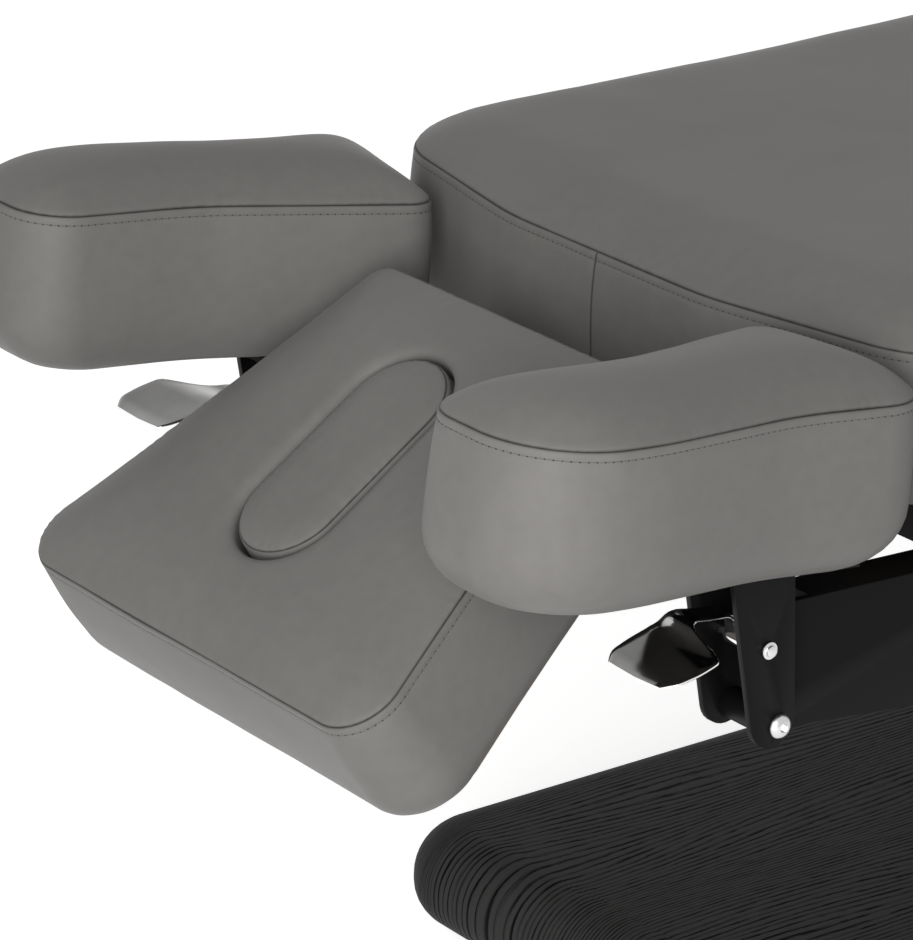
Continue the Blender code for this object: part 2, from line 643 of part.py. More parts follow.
# Backrest frame: two rails, head tube, armrest bar, actuator tube and the hinge outriggers
rail_foot = BACK_AXIS[0] - HINGE_SETBACK
head_tube_end = HEAD_TUBE_X + RAIL_HEIGHT
tube_x0 = back_moving[0] - RAIL_HEIGHT / 2
for side_name, side in SIDES:
    rail = tube(head_tube_end + FIT, rail_foot, side * RAIL_INNER, side * RAIL_OUTER,
                FRAME_BOTTOM, FRAME_TOP, "X")
    node("backrest_rail_" + side_name, rail, black_steel, "backrest")
    outrigger = tube(rail_foot - RAIL_HEIGHT, rail_foot, side * (RAIL_OUTER + FIT),
                     side * (back_lug_inner + OVERLAP), FRAME_BOTTOM, FRAME_TOP, "Y")
    join(outrigger, hinge_lug(rail_foot - RAIL_HEIGHT, side * back_lug_inner, side * back_lug_outer))
    node("backrest_hinge_outrigger_" + side_name, outrigger, black_steel, "backrest")
    nut_face = seat_lug_outer - HINGE_LUG - FIT
    head_face = back_lug_outer + FIT
    nut_end = nut_face - HINGE_NUT_HEIGHT
    head_end = head_face + HINGE_HEAD_HEIGHT
    bolt = join(pin(BACK_AXIS, HINGE_BOLT, side * (nut_end - OVERLAP), side * (head_face + OVERLAP),
                    BOLT_FACETS),
                pin(BACK_AXIS, HINGE_HEAD, side * head_face, side * head_end, BOLT_FACETS),
                pin(BACK_AXIS, HINGE_NUT, side * nut_face, side * nut_end, 6))
    node("backrest_hinge_bolt_" + side_name, bolt, zinc_steel, "top_frame")
head_tube = tube(HEAD_TUBE_X, head_tube_end, -RAIL_OUTER, RAIL_OUTER, FRAME_BOTTOM, FRAME_TOP, "Y")
node("backrest_head_tube", head_tube, black_steel, "backrest")

crank_top = FRAME_BOTTOM - FIT
lift_tube = tube(tube_x0, tube_x0 + RAIL_HEIGHT, -RAIL_OUTER, RAIL_OUTER,
                 crank_top - CRANK_TUBE_HEIGHT, crank_top, "Y")


def crank(centre, top, y_centre, tube_half):
    """Pair of lugs hanging from a tube with the actuator pin between them."""
    inner = ACTUATOR_EYE_WIDTH / 2 + CRANK_GAP
    outer = inner + CRANK_LUG
    parts = []
    for way in (1.0, -1.0):
        outline = circle(centre, CRANK_END, 12, math.pi, math.pi)
        outline += [(centre[0] + tube_half, top), (centre[0] - tube_half, top)]
        parts.append(prism(outline, y_centre + way * inner, y_centre + way * outer))
    parts.append(pin(centre, ACTUATOR_PIN, y_centre - outer - PIN_STANDOUT, y_centre + outer + PIN_STANDOUT))
    return parts


join(lift_tube, *crank(back_moving, crank_top - CRANK_ROOT, back_y, CRANK_END))
node("backrest_actuator_tube_mount", lift_tube, black_steel, "backrest")

bar_half = CARRIER_OUTER - CARRIER_WIDTH - FIT
bar_top = FRAME_BOTTOM - FIT
arm_bar = tube(ARM_BAR_X, ARM_BAR_X + ARM_BAR_SIZE, -bar_half, bar_half, bar_top - ARM_BAR_SIZE, bar_top, "Y")
node("armrest_cross_bar", arm_bar, black_steel, "backrest")


# Leg section frame: two rails pivoted on the leg hinge rod and a tube with the actuator lugs
leg_rail_end = FOOT_END - LEG_RAIL_SHORT
for side_name, side in SIDES:
    half_rail = RAIL_HEIGHT / 2
    outline = circle(LEG_AXIS, half_rail, 12, math.pi / 2, math.pi)
    outline += [(leg_rail_end, FRAME_BOTTOM), (leg_rail_end, FRAME_TOP)]
    rail = prism(outline, side * RAIL_INNER, side * RAIL_OUTER)
    cut(rail, pin(LEG_AXIS, LEG_ROD + PIN_CLEARANCE, -SIDE, SIDE))
    node("leg_rail_" + side_name, rail, black_steel, "leg_section")
leg_tube_half = RAIL_HEIGHT / 2
leg_tube = tube(leg_moving[0] - leg_tube_half, leg_moving[0] + leg_tube_half, FIT - RAIL_INNER, RAIL_INNER - FIT,
                FRAME_BOTTOM, FRAME_TOP, "Y")
join(leg_tube, *crank(leg_moving, FRAME_BOTTOM + CRANK_ROOT, leg_y, CRANK_END))
node("leg_cross_tube", leg_tube, black_steel, "leg_section")


# Actuators: a tube with its motor swings on the fixed pin, a rod on the moving pin slides inside it
def aimed(start, end, y):
    """Frame with local X from start to end in the XZ plane."""
    angle = math.atan2(end[1] - start[1], end[0] - start[0])
    return Matrix.Translation((start[0], y, start[1])) @ Matrix.Rotation(-angle, 4, "Y")


def actuator(name, fixed, moving, y, tube_length, rod_start, carrier):
    reach = math.dist(fixed, moving)
    half = ACTUATOR_EYE_WIDTH / 2
    body(name + "_tube", fixed[0], y, fixed[1], "top_frame")
    body(name + "_rod", moving[0], y, moving[1], carrier)
    below = 1.0 if moving[0] < fixed[0] else -1.0
    sleeve = prism(circle((0.0, 0.0), ACTUATOR_TUBE), TUBE_START, tube_length, "X")
    motor = prism(rounded_outline([(-half, below * MOTOR_DEPTH), (half, below * MOTOR_DEPTH),
                                   (half, -below * MOTOR_BACK), (-half, -below * MOTOR_BACK)],
                                  [MOTOR_CORNER] * 4, [0.0] * 4, 4, 1), MOTOR_START, MOTOR_END, "X")
    tail = block(0.0, EYE_TAIL, -half, half, -ACTUATOR_EYE, ACTUATOR_EYE)
    join(sleeve, motor, join(pin((0.0, 0.0), ACTUATOR_EYE, -half, half), tail))
    bore = prism(circle((0.0, 0.0), ACTUATOR_ROD + ACTUATOR_BORE_GAP), BORE_START, tube_length + OVERCUT, "X")
    cut(sleeve, bore, pin((0.0, 0.0), ACTUATOR_PIN + PIN_CLEARANCE, -SIDE, SIDE))
    node(name + "_tube", turned(sleeve, aimed(fixed, moving, y)), black_plastic, name + "_tube")
    rod = prism(circle((0.0, 0.0), ACTUATOR_ROD), rod_start, reach - ROD_TO_EYE, "X")
    join(rod, pin((reach, 0.0), ACTUATOR_EYE, -half, half))
    cut(rod, pin((reach, 0.0), ACTUATOR_PIN + PIN_CLEARANCE, -SIDE, SIDE))
    node(name + "_rod", turned(rod, aimed(fixed, moving, y)), zinc_steel, name + "_rod")


actuator("backrest_actuator", back_fixed, back_moving, back_y, BACK_TUBE_LENGTH, BACK_ROD_SHORT, "backrest")
actuator("leg_actuator", leg_fixed, leg_moving, leg_y, LEG_TUBE_LENGTH, LEG_ROD_SHORT, "leg_section")

# Control box on the base with a recessed power inlet in its foot face
box_start = COLUMN_FOOT_X + BOX_FROM_COLUMN
box_end = box_start + BOX_LENGTH
half_box = BOX_WIDTH / 2
box_plan = rounded_outline([(box_start, -half_box), (box_end, -half_box), (box_end, half_box),
                            (box_start, half_box)], [BOX_CORNER] * 4, [0.0] * 4, 4, 1)
control = plate(box_plan, BASE_TOP + FIT, BASE_TOP + BOX_HEIGHT)
inlet_low = BASE_TOP + INLET_RISE
cut(control, block(box_end - INLET_DEPTH, box_end + OVERCUT, -INLET_WIDTH / 2, INLET_WIDTH / 2,
                   inlet_low, inlet_low + INLET_HEIGHT))
node("control_box", control, black_plastic, "base")


# Headrest: built flat about its hinge, then tilted; a stadium slot takes the loose face plug
rest_frame = Matrix.Translation((REST_AXIS[0], 0.0, REST_AXIS[1])) @ Matrix.Rotation(-REST_TILT, 4, "Y")
rear = -REST_REAR_SETBACK + SEAM_DRAW
tip = -REST_REAR_SETBACK - REST_LENGTH - SEAM_DRAW
slot_x = -REST_REAR_SETBACK - SLOT_FROM_REAR


half_rear = REST_REAR_WIDTH / 2 + SEAM_DRAW
half_head = REST_HEAD_WIDTH / 2 + SEAM_DRAW
rest_plan = rounded_outline([(tip, -half_head), (rear, -half_rear), (rear, half_rear), (tip, half_head)],
                            [REST_HEAD_CORNER, REST_REAR_CORNER, REST_REAR_CORNER, REST_HEAD_CORNER],
                            [SIDE_DRAW, 0.0, SIDE_DRAW, 0.0])


def stadium(grow, steps=12):
    radius = SLOT_WIDTH / 2 + grow
    run = (SLOT_LENGTH - SLOT_WIDTH) / 2
    return (circle((slot_x + run, 0.0), radius, steps, -math.pi / 2, math.pi)
            + circle((slot_x - run, 0.0), radius, steps, math.pi / 2, math.pi))


rest_low = REST_STRAP + FIT
rest_cushion = cushion(rest_plan, rest_low, REST_SEAM - rest_low, CROWN, REST_TUCK)
cut(rest_cushion, plate(inset_ring(rest_plan, REST_BOARD_INSET - FIT), rest_low - OVERCUT, REST_BOTTOM),
    plate(stadium(SLOT_GAP), rest_low, REST_SEAM + CROWN + OVERCUT))
node("headrest_cushion", turned(rest_cushion, rest_frame), grey_leather, "headrest", 50.0)
rest_board = plate(inset_ring(rest_plan, REST_BOARD_INSET), rest_low, rest_low + REST_BOARD)
cut(rest_board, plate(stadium(-SLOT_LEDGE), 0.0, REST_BOTTOM + OVERCUT))
node("headrest_board", turned(rest_board, rest_frame), birch_board, "headrest")
plug_top = REST_SEAM + CROWN + PLUG_PROUD
plug_profile = [(PLUG_EDGE / 4, REST_BOTTOM), (0.0, REST_BOTTOM + PLUG_EDGE / 4)]
for turn in (0.0, 0.25, 0.5, 0.75, 1.0):
    angle = turn * math.pi / 2
    plug_profile.append((1.4 * PLUG_EDGE * (1 - math.cos(angle)), plug_top - PLUG_EDGE * (1 - math.sin(angle))))
plug = loft(stadium(0.0), plug_profile)
node("face_plug", turned(plug, rest_frame), grey_leather, "face_plug", 50.0)

rod_end = REST_HINGE_OFFSET + REST_STRAP_WIDTH / 2 + FIT + REST_CHEEK + ROD_STANDOUT
node("headrest_hinge_rod", collared_rod(REST_AXIS, REST_ROD, rod_end), zinc_steel, "backrest")
cheek_low = FRAME_BOTTOM + TUBE_CORNER
for side_name, side in SIDES:
    middle = side * REST_HINGE_OFFSET
    half = REST_STRAP_WIDTH / 2
    strap = prism([(-REST_STRAP_REACH, 0.0), (0.0, 0.0), (0.0, REST_STRAP), (-REST_STRAP_REACH, REST_STRAP)],
                  middle - half, middle + half)
    join(strap, pin((0.0, 0.0), REST_EYE, middle - half, middle + half))
    cut(strap, pin((0.0, 0.0), REST_ROD + PIN_CLEARANCE, -SIDE, SIDE))
    node("headrest_hinge_strap_" + side_name, turned(strap, rest_frame), black_steel, "headrest")
    outer_half = half + FIT + REST_CHEEK
    back_plate = HEAD_TUBE_X - FIT
    bracket = block(back_plate - REST_CHEEK, back_plate, middle - outer_half, middle + outer_half,
                    cheek_low, FRAME_TOP)
    for way in (1.0, -1.0):
        arm = prism(circle(REST_AXIS, REST_EYE, 12, math.pi / 2, math.pi)
                    + [(back_plate - OVERLAP, cheek_low), (back_plate - OVERLAP, FRAME_TOP),
                       (REST_AXIS[0] + 2 * REST_EYE, FRAME_TOP)],
                    middle + way * (half + FIT), middle + way * outer_half)
        join(bracket, arm)
    cut(bracket, pin(REST_AXIS, REST_ROD + PIN_CLEARANCE, -SIDE, SIDE))
    node("headrest_hinge_bracket_" + side_name, bracket, black_steel, "backrest")


# Armrests: pitched cushions on a clevis that pivots on the carrier, with a chrome release lever
arm_frame = Matrix.Translation((0.0, 0.0, SEAM_HEIGHT - ARM_SEAM_DROP)) @ Matrix.Rotation(ARM_PITCH, 4, "Y")


def under_arm(x):
    """Height of the underside of the armrest cushion above station x."""
    return SEAM_HEIGHT - ARM_SEAM_DROP - x * math.tan(ARM_PITCH) - ARM_BAND / math.cos(ARM_PITCH)


def from_bolt(dx, dz):
    return (BOLT[0] + dx, BOLT[1] + dz)


def carrier_edge(dx, upper):
    """Point on the upper or lower edge of the tapering carrier."""
    rise = CARRIER_RISE - CARRIER_TOP_SLOPE * dx if upper else -CARRIER_FALL - CARRIER_BOTTOM_SLOPE * dx
    return from_bolt(dx, rise)


for side_name, side in SIDES:
    arm = "armrest_" + side_name
    outline = rounded_outline([(x, side * y) for x, y, radius in ARM_PLAN],
                              [radius for x, y, radius in ARM_PLAN], [0.0] * len(ARM_PLAN))
    padding = cushion(outline, -ARM_BAND, ARM_BAND, ARM_CROWN, ARM_TUCK)
    node("armrest_cushion_" + side_name, turned(padding, arm_frame), grey_leather, arm, 50.0)

    cheek_inner = CHEEK_OUTER - CHEEK_SPAN
    top_x0, top_x1 = BOLT[0] - CLEVIS_HALF_LENGTH, BOLT[0] + CLEVIS_HALF_LENGTH
    plate_z0, plate_z1 = under_arm(top_x0) - FIT, under_arm(top_x1) - FIT
    clevis = prism([(top_x0, plate_z0 - CLEVIS_PLATE), (top_x1, plate_z1 - CLEVIS_PLATE),
                    (top_x1, plate_z1), (top_x0, plate_z0)],
                   side * (cheek_inner - CLEVIS_INNER_MARGIN), side * (CHEEK_OUTER + CLEVIS_OUTER_MARGIN))
    lean_x0, lean_x1 = BOLT[0] - CHEEK_HEADWARD, BOLT[0] + CHEEK_FOOTWARD
    side_view = [(lean_x1, under_arm(lean_x1) - FIT - OVERLAP), (lean_x0, under_arm(lean_x0) - FIT - OVERLAP)]
    side_view += circle(from_bolt(*CHEEK_END_SHIFT), CHEEK_END, 12, math.radians(190), math.radians(165))
    for y0 in (cheek_inner, CHEEK_OUTER - CHEEK):
        join(clevis, prism(side_view, side * y0, side * (y0 + CHEEK)))
    beyond = side * (CHEEK_OUTER + OVERCUT)
    cut(clevis, pin(BOLT, BOLT_RADIUS + PIN_CLEARANCE, 0.0, beyond),
        pin(LEVER_PIN, LEVER_PIN_RADIUS + PIN_CLEARANCE, 0.0, beyond))
    node("armrest_clevis_" + side_name, clevis, black_steel, arm)

    inner_face, outer_face = cheek_inner - FIT, CHEEK_OUTER + FIT
    lever_pin = join(pin(LEVER_PIN, LEVER_PIN_RADIUS, side * (cheek_inner - ROD_STANDOUT),
                         side * (CHEEK_OUTER + ROD_STANDOUT), BOLT_FACETS),
                     pin(LEVER_PIN, CLIP_RADIUS, side * outer_face, side * (outer_face + CLIP_THICKNESS),
                         BOLT_FACETS),
                     pin(LEVER_PIN, CLIP_RADIUS, side * inner_face, side * (inner_face - CLIP_THICKNESS),
                         BOLT_FACETS))
    node("lever_pin_" + side_name, lever_pin, zinc_steel, arm)

    bolt = join(pin(BOLT, BOLT_RADIUS, side * (inner_face - NUT_HEIGHT - OVERLAP),
                    side * (outer_face + OVERLAP), BOLT_FACETS),
                pin(BOLT, BOLT_HEAD, side * outer_face, side * (outer_face + BOLT_HEAD_HEIGHT), BOLT_FACETS),
                pin(BOLT, NUT_RADIUS, side * inner_face, side * (inner_face - NUT_HEIGHT), 6))
    node("armrest_pivot_bolt_" + side_name, bolt, zinc_steel, "backrest")

    carrier_inner = CARRIER_OUTER - CARRIER_WIDTH
    carrier_reach = CARRIER_FOOT - BOLT[0]
    side_view = [carrier_edge(CARRIER_START, False), carrier_edge(carrier_reach, False),
                 carrier_edge(carrier_reach, True), carrier_edge(CARRIER_NOSE_EDGE, True),
                 from_bolt(CARRIER_NOSE_EDGE, 2 * CARRIER_NOSE)]
    side_view += circle(BOLT, CARRIER_NOSE, 10, math.pi * 0.6, math.pi * 0.9)
    beam = prism(side_view, side * carrier_inner, side * CARRIER_OUTER)
    relief = block(BOLT[0] - 2 * CARRIER_NOSE, BOLT[0] + CARRIER_START, 0.0, side * (CARRIER_OUTER - CARRIER_LUG),
                   BOLT[1] - 2 * CARRIER_NOSE, SEAM_HEIGHT)
    hub = pin(BOLT, HUB_RADIUS, side * (cheek_inner + CHEEK + FIT), side * (CHEEK_OUTER - CHEEK - FIT))
    join(cut(beam, relief), hub)
    cut(beam, pin(BOLT, BOLT_RADIUS + PIN_CLEARANCE, 0.0, beyond))
    node("arm_carrier_" + side_name, beam, black_steel, "backrest")

    mesh_data = bmesh.new()
    rings = []
    for i, (dx, dz, y0, y1) in enumerate(LEVER_STRIP):
        x, z = from_bolt(dx, dz)
        ahead = LEVER_STRIP[min(i + 1, len(LEVER_STRIP) - 1)]
        behind = LEVER_STRIP[max(i - 1, 0)]
        slope = Vector((ahead[0] - behind[0], ahead[1] - behind[1])).normalized()
        up = Vector((slope.y, -slope.x)) * LEVER_SHEET / 2
        rings.append([mesh_data.verts.new(p) for p in (
            (x - up.x, side * y0, z - up.y), (x - up.x, side * y1, z - up.y),
            (x + up.x, side * y1, z + up.y), (x + up.x, side * y0, z + up.y))])
    mesh_data.faces.new(rings[0])
    mesh_data.faces.new(rings[-1])
    for first, second in zip(rings, rings[1:]):
        for i in range(4):
            mesh_data.faces.new((first[i], first[(i + 1) % 4], second[(i + 1) % 4], second[i]))
    lever = shape(mesh_data)
    hub_inner, hub_outer = side * LEVER_HUB_INNER, side * LEVER_HUB_OUTER
    stem = prism([from_bolt(*point) for point in LEVER_STEM], hub_inner, hub_outer)
    join(lever, stem, pin(LEVER_PIN, LEVER_HUB, hub_inner, hub_outer))
    cut(lever, pin(LEVER_PIN, LEVER_PIN_RADIUS + PIN_CLEARANCE, 0.0, beyond))
    node("release_lever_" + side_name, lever, chrome, "lever_" + side_name)
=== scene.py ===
"""Looks of the electric beauty bed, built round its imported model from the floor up."""
import json
import math

import bmesh
import bpy
import numpy as np
from mathutils import Matrix, Vector, noise
from mathutils.bvhtree import BVHTree
from mathutils.interpolate import poly_3d_calc


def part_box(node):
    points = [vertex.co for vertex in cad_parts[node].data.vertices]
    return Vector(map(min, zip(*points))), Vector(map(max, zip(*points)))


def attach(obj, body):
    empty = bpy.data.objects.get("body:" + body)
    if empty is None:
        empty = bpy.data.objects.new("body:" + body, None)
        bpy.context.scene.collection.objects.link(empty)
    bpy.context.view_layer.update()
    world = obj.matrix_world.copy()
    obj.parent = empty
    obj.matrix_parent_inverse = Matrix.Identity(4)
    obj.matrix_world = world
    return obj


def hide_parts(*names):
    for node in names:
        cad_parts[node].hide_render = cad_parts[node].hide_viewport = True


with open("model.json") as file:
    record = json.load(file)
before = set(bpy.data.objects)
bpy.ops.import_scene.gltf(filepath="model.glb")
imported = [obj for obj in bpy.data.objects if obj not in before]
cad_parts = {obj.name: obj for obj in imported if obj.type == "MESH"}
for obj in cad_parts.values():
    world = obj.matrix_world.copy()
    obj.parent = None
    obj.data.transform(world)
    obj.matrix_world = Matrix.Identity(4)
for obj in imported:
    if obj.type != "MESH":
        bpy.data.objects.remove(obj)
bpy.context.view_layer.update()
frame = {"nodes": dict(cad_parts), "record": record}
nodes = frame["nodes"]

# Studio: the camera stands at the head end on the right, level with a tall person's chest.
# A white floor and sky light the bed evenly, and a big soft box beside the camera lifts the bands.
scene = bpy.context.scene
scene.view_settings.view_transform = "Standard"
lens = bpy.data.cameras.new("camera")
lens.lens = 201.93
lens.sensor_width = 36.0
camera = bpy.data.objects.new("camera", lens)
camera.location = (-2.75718, -2.78491, 1.78976)
target = Vector((-0.74863, 0.0, 0.4861))
camera.rotation_euler = (target - camera.location).to_track_quat("-Z", "Y").to_euler()
scene.collection.objects.link(camera)
scene.camera = camera

sky = bpy.data.worlds.new("sky")
sky.use_nodes = True
sky_tree = sky.node_tree
sky_tree.nodes["Background"].inputs["Strength"].default_value = 0.39
seen_sky = sky_tree.nodes.new("ShaderNodeBackground")
seen_sky.inputs["Color"].default_value = (1.0, 1.0, 1.0, 1.0)
sky_tree.nodes["Background"].inputs["Color"].default_value = (1.0, 1.0, 1.0, 1.0)


def seen_rays(tree):
    """1 for rays that look at the background: from the camera, off a mirror or through glass."""
    rays = tree.nodes.new("ShaderNodeLightPath")
    seen = rays.outputs["Is Camera Ray"]
    for kind in ("Is Glossy Ray", "Is Transmission Ray"):
        either = tree.nodes.new("ShaderNodeMath")
        either.operation = "MAXIMUM"
        tree.links.new(seen, either.inputs[0])
        tree.links.new(rays.outputs[kind], either.inputs[1])
        seen = either.outputs[0]
    return seen


sky_mix = sky_tree.nodes.new("ShaderNodeMixShader")
sky_tree.links.new(seen_rays(sky_tree), sky_mix.inputs[0])
sky_tree.links.new(sky_tree.nodes["Background"].outputs[0], sky_mix.inputs[1])
sky_tree.links.new(seen_sky.outputs[0], sky_mix.inputs[2])
sky_tree.links.new(sky_mix.outputs[0], sky_tree.nodes["World Output"].inputs["Surface"])
scene.world = sky

lamp = bpy.data.lights.new("soft_box", "AREA")
lamp.shape = "SQUARE"
lamp.size = 1.8
lamp.energy = 126.0
soft_box = bpy.data.objects.new("soft_box", lamp)
soft_box.location = (-3.1, -2.5, 1.5)
soft_box.rotation_euler = (target - soft_box.location).to_track_quat("-Z", "Y").to_euler()
scene.collection.objects.link(soft_box)

floor_mesh = bpy.data.meshes.new("floor")
floor_mesh.from_pydata([(-9, -9, 0), (9, -9, 0), (9, 9, 0), (-9, 9, 0)], [], [(0, 1, 2, 3)])
floor = bpy.data.objects.new("floor", floor_mesh)
scene.collection.objects.link(floor)
floor_paint = bpy.data.materials.new("floor_paint")
floor_paint.use_nodes = True
floor_tree = floor_paint.node_tree
floor_tree.nodes["Principled BSDF"].inputs["Base Color"].default_value = (0.82, 0.82, 0.82, 1.0)
floor_tree.nodes["Principled BSDF"].inputs["Roughness"].default_value = 0.9
floor_glow = floor_tree.nodes.new("ShaderNodeEmission")
floor_glow.inputs["Strength"].default_value = 0.62
floor_lit = floor_tree.nodes.new("ShaderNodeBsdfDiffuse")
floor_lit.inputs["Color"].default_value = (1.0, 1.0, 1.0, 1.0)
floor_seen = floor_tree.nodes.new("ShaderNodeAddShader")
floor_mix = floor_tree.nodes.new("ShaderNodeMixShader")
floor_tree.links.new(floor_glow.outputs[0], floor_seen.inputs[0])
floor_tree.links.new(floor_lit.outputs[0], floor_seen.inputs[1])
floor_tree.links.new(seen_rays(floor_tree), floor_mix.inputs[0])
floor_tree.links.new(floor_tree.nodes["Principled BSDF"].outputs[0], floor_mix.inputs[1])
floor_tree.links.new(floor_seen.outputs[0], floor_mix.inputs[2])
floor_tree.links.new(floor_mix.outputs[0], floor_tree.nodes["Material Output"].inputs["Surface"])
floor_mesh.materials.append(floor_paint)


# Base platform: board core under black stained open-grain veneer, the leaves running lengthwise
# and folded over the bullnose. It stands on four rubber levelling feet.
class Field:
    """One value in a material's node tree; arithmetic on it adds math nodes to the same tree."""

    def __init__(self, tree, socket):
        self.tree = tree
        self.socket = socket

    def put(self, kind, values, output=0, **settings):
        """Add any node, fill its inputs with numbers or other values, and return one output."""
        node = self.tree.nodes.new(kind)
        for name, value in settings.items():
            setattr(node, name, value)
        for place, value in values.items():
            if isinstance(value, Field):
                self.tree.links.new(value.socket, node.inputs[place])
            else:
                node.inputs[place].default_value = value
        return Field(self.tree, node.outputs[output])

    def math(self, operation, first, second=0.0):
        return self.put("ShaderNodeMath", {0: first, 1: second}, operation=operation)

    def __add__(self, other):
        return self.math("ADD", self, other)

    def __radd__(self, other):
        return self.math("ADD", other, self)

    def __sub__(self, other):
        return self.math("SUBTRACT", self, other)

    def __rsub__(self, other):
        return self.math("SUBTRACT", other, self)

    def __mul__(self, other):
        return self.math("MULTIPLY", self, other)

    def __rmul__(self, other):
        return self.math("MULTIPLY", other, self)

    def __truediv__(self, other):
        return self.math("DIVIDE", self, other)

    def __rtruediv__(self, other):
        return self.math("DIVIDE", other, self)

    def part(self, axis):
        return self.put("ShaderNodeSeparateXYZ", {0: self}, axis)

    def vector(self, x, y, z):
        return self.put("ShaderNodeCombineXYZ", {"X": x, "Y": y, "Z": z})

    def noise(self, place, scale, detail=2.0):
        return self.put("ShaderNodeTexNoise", {"Vector": place, "Scale": scale, "Detail": detail}, "Fac")

    def between(self, low, high):
        """Clamp to a ramp that is 0 at low and 1 at high."""
        return self.put("ShaderNodeMapRange", {"Value": self, "From Min": low, "From Max": high})

    def tint(self, first, second):
        """Blend two colours by this value."""
        colours = {6: (*first, 1.0), 7: (*second, 1.0), 0: self}
        return self.put("ShaderNodeMix", colours, 2, data_type="RGBA")

    def bump(self, strength, distance):
        values = {"Height": self, "Strength": strength, "Distance": distance}
        return self.put("ShaderNodeBump", values, "Normal")


def surface(name, constants):
    """New material with fixed shader values; returns it, its shader and the object coordinates."""
    material = bpy.data.materials.new(name)
    material.use_nodes = True
    tree = material.node_tree
    shader = tree.nodes["Principled BSDF"]
    for socket, value in constants.items():
        shader.inputs[socket].default_value = value
    return material, shader, Field(tree, tree.nodes.new("ShaderNodeTexCoord").outputs["Object"])


def feed(shader, **fields):
    for name, field in fields.items():
        field.tree.links.new(field.socket, shader.inputs[name.replace("_", " ")])


def dress(material, *names):
    for name in names:
        nodes[name].data.materials.clear()
        nodes[name].data.materials.append(material)


def outline(corners, radii, bows, spacing, marks=()):
    """Closed plan outline with arc corners and bowed edges, evenly stepped, denser at each mark."""
    count = len(corners)
    arcs = []
    for i in range(count):
        here = Vector(corners[i])
        before = (Vector(corners[i - 1]) - here).normalized()
        after = (Vector(corners[(i + 1) % count]) - here).normalized()
        half = before.angle(after) / 2
        middle = here + (before + after).normalized() * (radii[i] / math.sin(half))
        first = here + before * (radii[i] / math.tan(half)) - middle
        sweep = first.angle_signed(here + after * (radii[i] / math.tan(half)) - middle)
        turn = math.atan2(first.y, first.x)
        turns = [turn - sweep * k / 24 for k in range(25)]
        arcs.append([middle + radii[i] * Vector((math.cos(a), math.sin(a))) for a in turns])
    centre = sum((Vector(c) for c in corners), Vector((0.0, 0.0))) / count
    path = []
    for i in range(count):
        path += arcs[i]
        start, end = arcs[i][-1], arcs[(i + 1) % count][0]
        inward = (end - start).orthogonal().normalized()
        if inward.dot(centre - start) < 0:
            inward.negate()
        for k in range(1, 60):
            t = k / 60
            path.append(start.lerp(end, t) + inward * bows[i] * 4 * t * (1 - t))
    path = np.array(path + path[:1])
    steps = np.concatenate([[0.0], np.cumsum(np.linalg.norm(np.diff(path, axis=0), axis=1))])
    amount = int(round(steps[-1] / spacing))
    stations = np.arange(amount) * steps[-1] / amount
    spots = [steps[np.argmin(np.linalg.norm(path - np.array(mark), axis=1))] for mark in marks]
    for spot in spots:
        stations = stations[np.abs(stations - spot) > 0.004]
        close = spot + np.array([-0.0032, -0.0018, -0.0010, -0.0004, 0.0, 0.0004, 0.0010, 0.0018, 0.0032])
        stations = np.sort(np.concatenate([stations, close]))
    plan = np.column_stack([np.interp(stations, steps, path[:, 0]), np.interp(stations, steps, path[:, 1])])
    from_mark = np.full(len(stations), 1.0)
    for spot in spots:
        from_mark = np.minimum(from_mark, np.abs(stations - spot))
    return plan, stations, from_mark


def outward(plan):
    """Unit normals of a closed outline, pointing out."""
    along = np.roll(plan, -1, axis=0) - np.roll(plan, 1, axis=0)
    normal = np.column_stack([along[:, 1], -along[:, 0]])
    normal /= np.linalg.norm(normal, axis=1)[:, None]
    area = np.sum(plan[:, 0] * np.roll(plan[:, 1], -1) - plan[:, 1] * np.roll(plan[:, 0], -1))
    return normal if area > 0 else -normal


def wall(rings, count, closed=False):
    """Quads between neighbouring rings of points."""
    faces = []
    for level in range(len(rings) if closed else len(rings) - 1):
        low, high = level * count, ((level + 1) % len(rings)) * count
        faces += [(low + i, low + (i + 1) % count, high + (i + 1) % count, high + i) for i in range(count)]
    return faces


veneer, shader, place = surface("black_veneer", {"Specular IOR Level": 0.03})
side_facing = place.math("ABSOLUTE", place.put("ShaderNodeTexCoord", {}, "Normal").part(1))
along = place.part(0)
across = place.part(1) + place.part(2) * side_facing
warp = place.noise(place.vector(along * 1.5, across * 8.0, 0.0), 1.0, 1.0)
waver = place.noise(place.vector(along * 11.0, across * 70.0, 3.0), 1.0, 2.0)
jitter = place.noise(place.vector(along * 75.0, across * 420.0, 9.0), 1.0, 2.0)
leaf = across + warp * 0.105 + waver * 0.0045 + jitter * 0.0022
ring_lines = place.math("PINGPONG", leaf * 360.0, 1.0).between(0.52, 0.76)
dashes = place.noise(place.vector(along * 26.0, leaf * 620.0, 0.0), 1.0, 2.0).between(0.40, 0.56)
pores = place.noise(place.vector(along * 45.0, across * 1100.0, 7.0), 1.0, 2.0).between(0.54, 0.68)
stain = ring_lines * (0.30 + dashes * 0.70) + pores * 0.22
feed(shader, Base_Color=stain.between(0.0, 1.0).tint((0.0370, 0.0365, 0.0362), (0.0010, 0.0010, 0.0010)),
     Roughness=0.50 + stain * 0.14, Normal=(0.0 - stain).bump(0.5, 0.0007))
BASE_CORNER = 0.060
NOSE_BELOW = 0.034
NOSE_ABOVE = 0.042
low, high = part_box("base_platform")
edge, _, _ = outline([(low[0], low[1]), (high[0], low[1]), (high[0], high[1]), (low[0], high[1])],
                     (BASE_CORNER,) * 4, (0.0,) * 4, 0.006)
inward = -outward(edge)
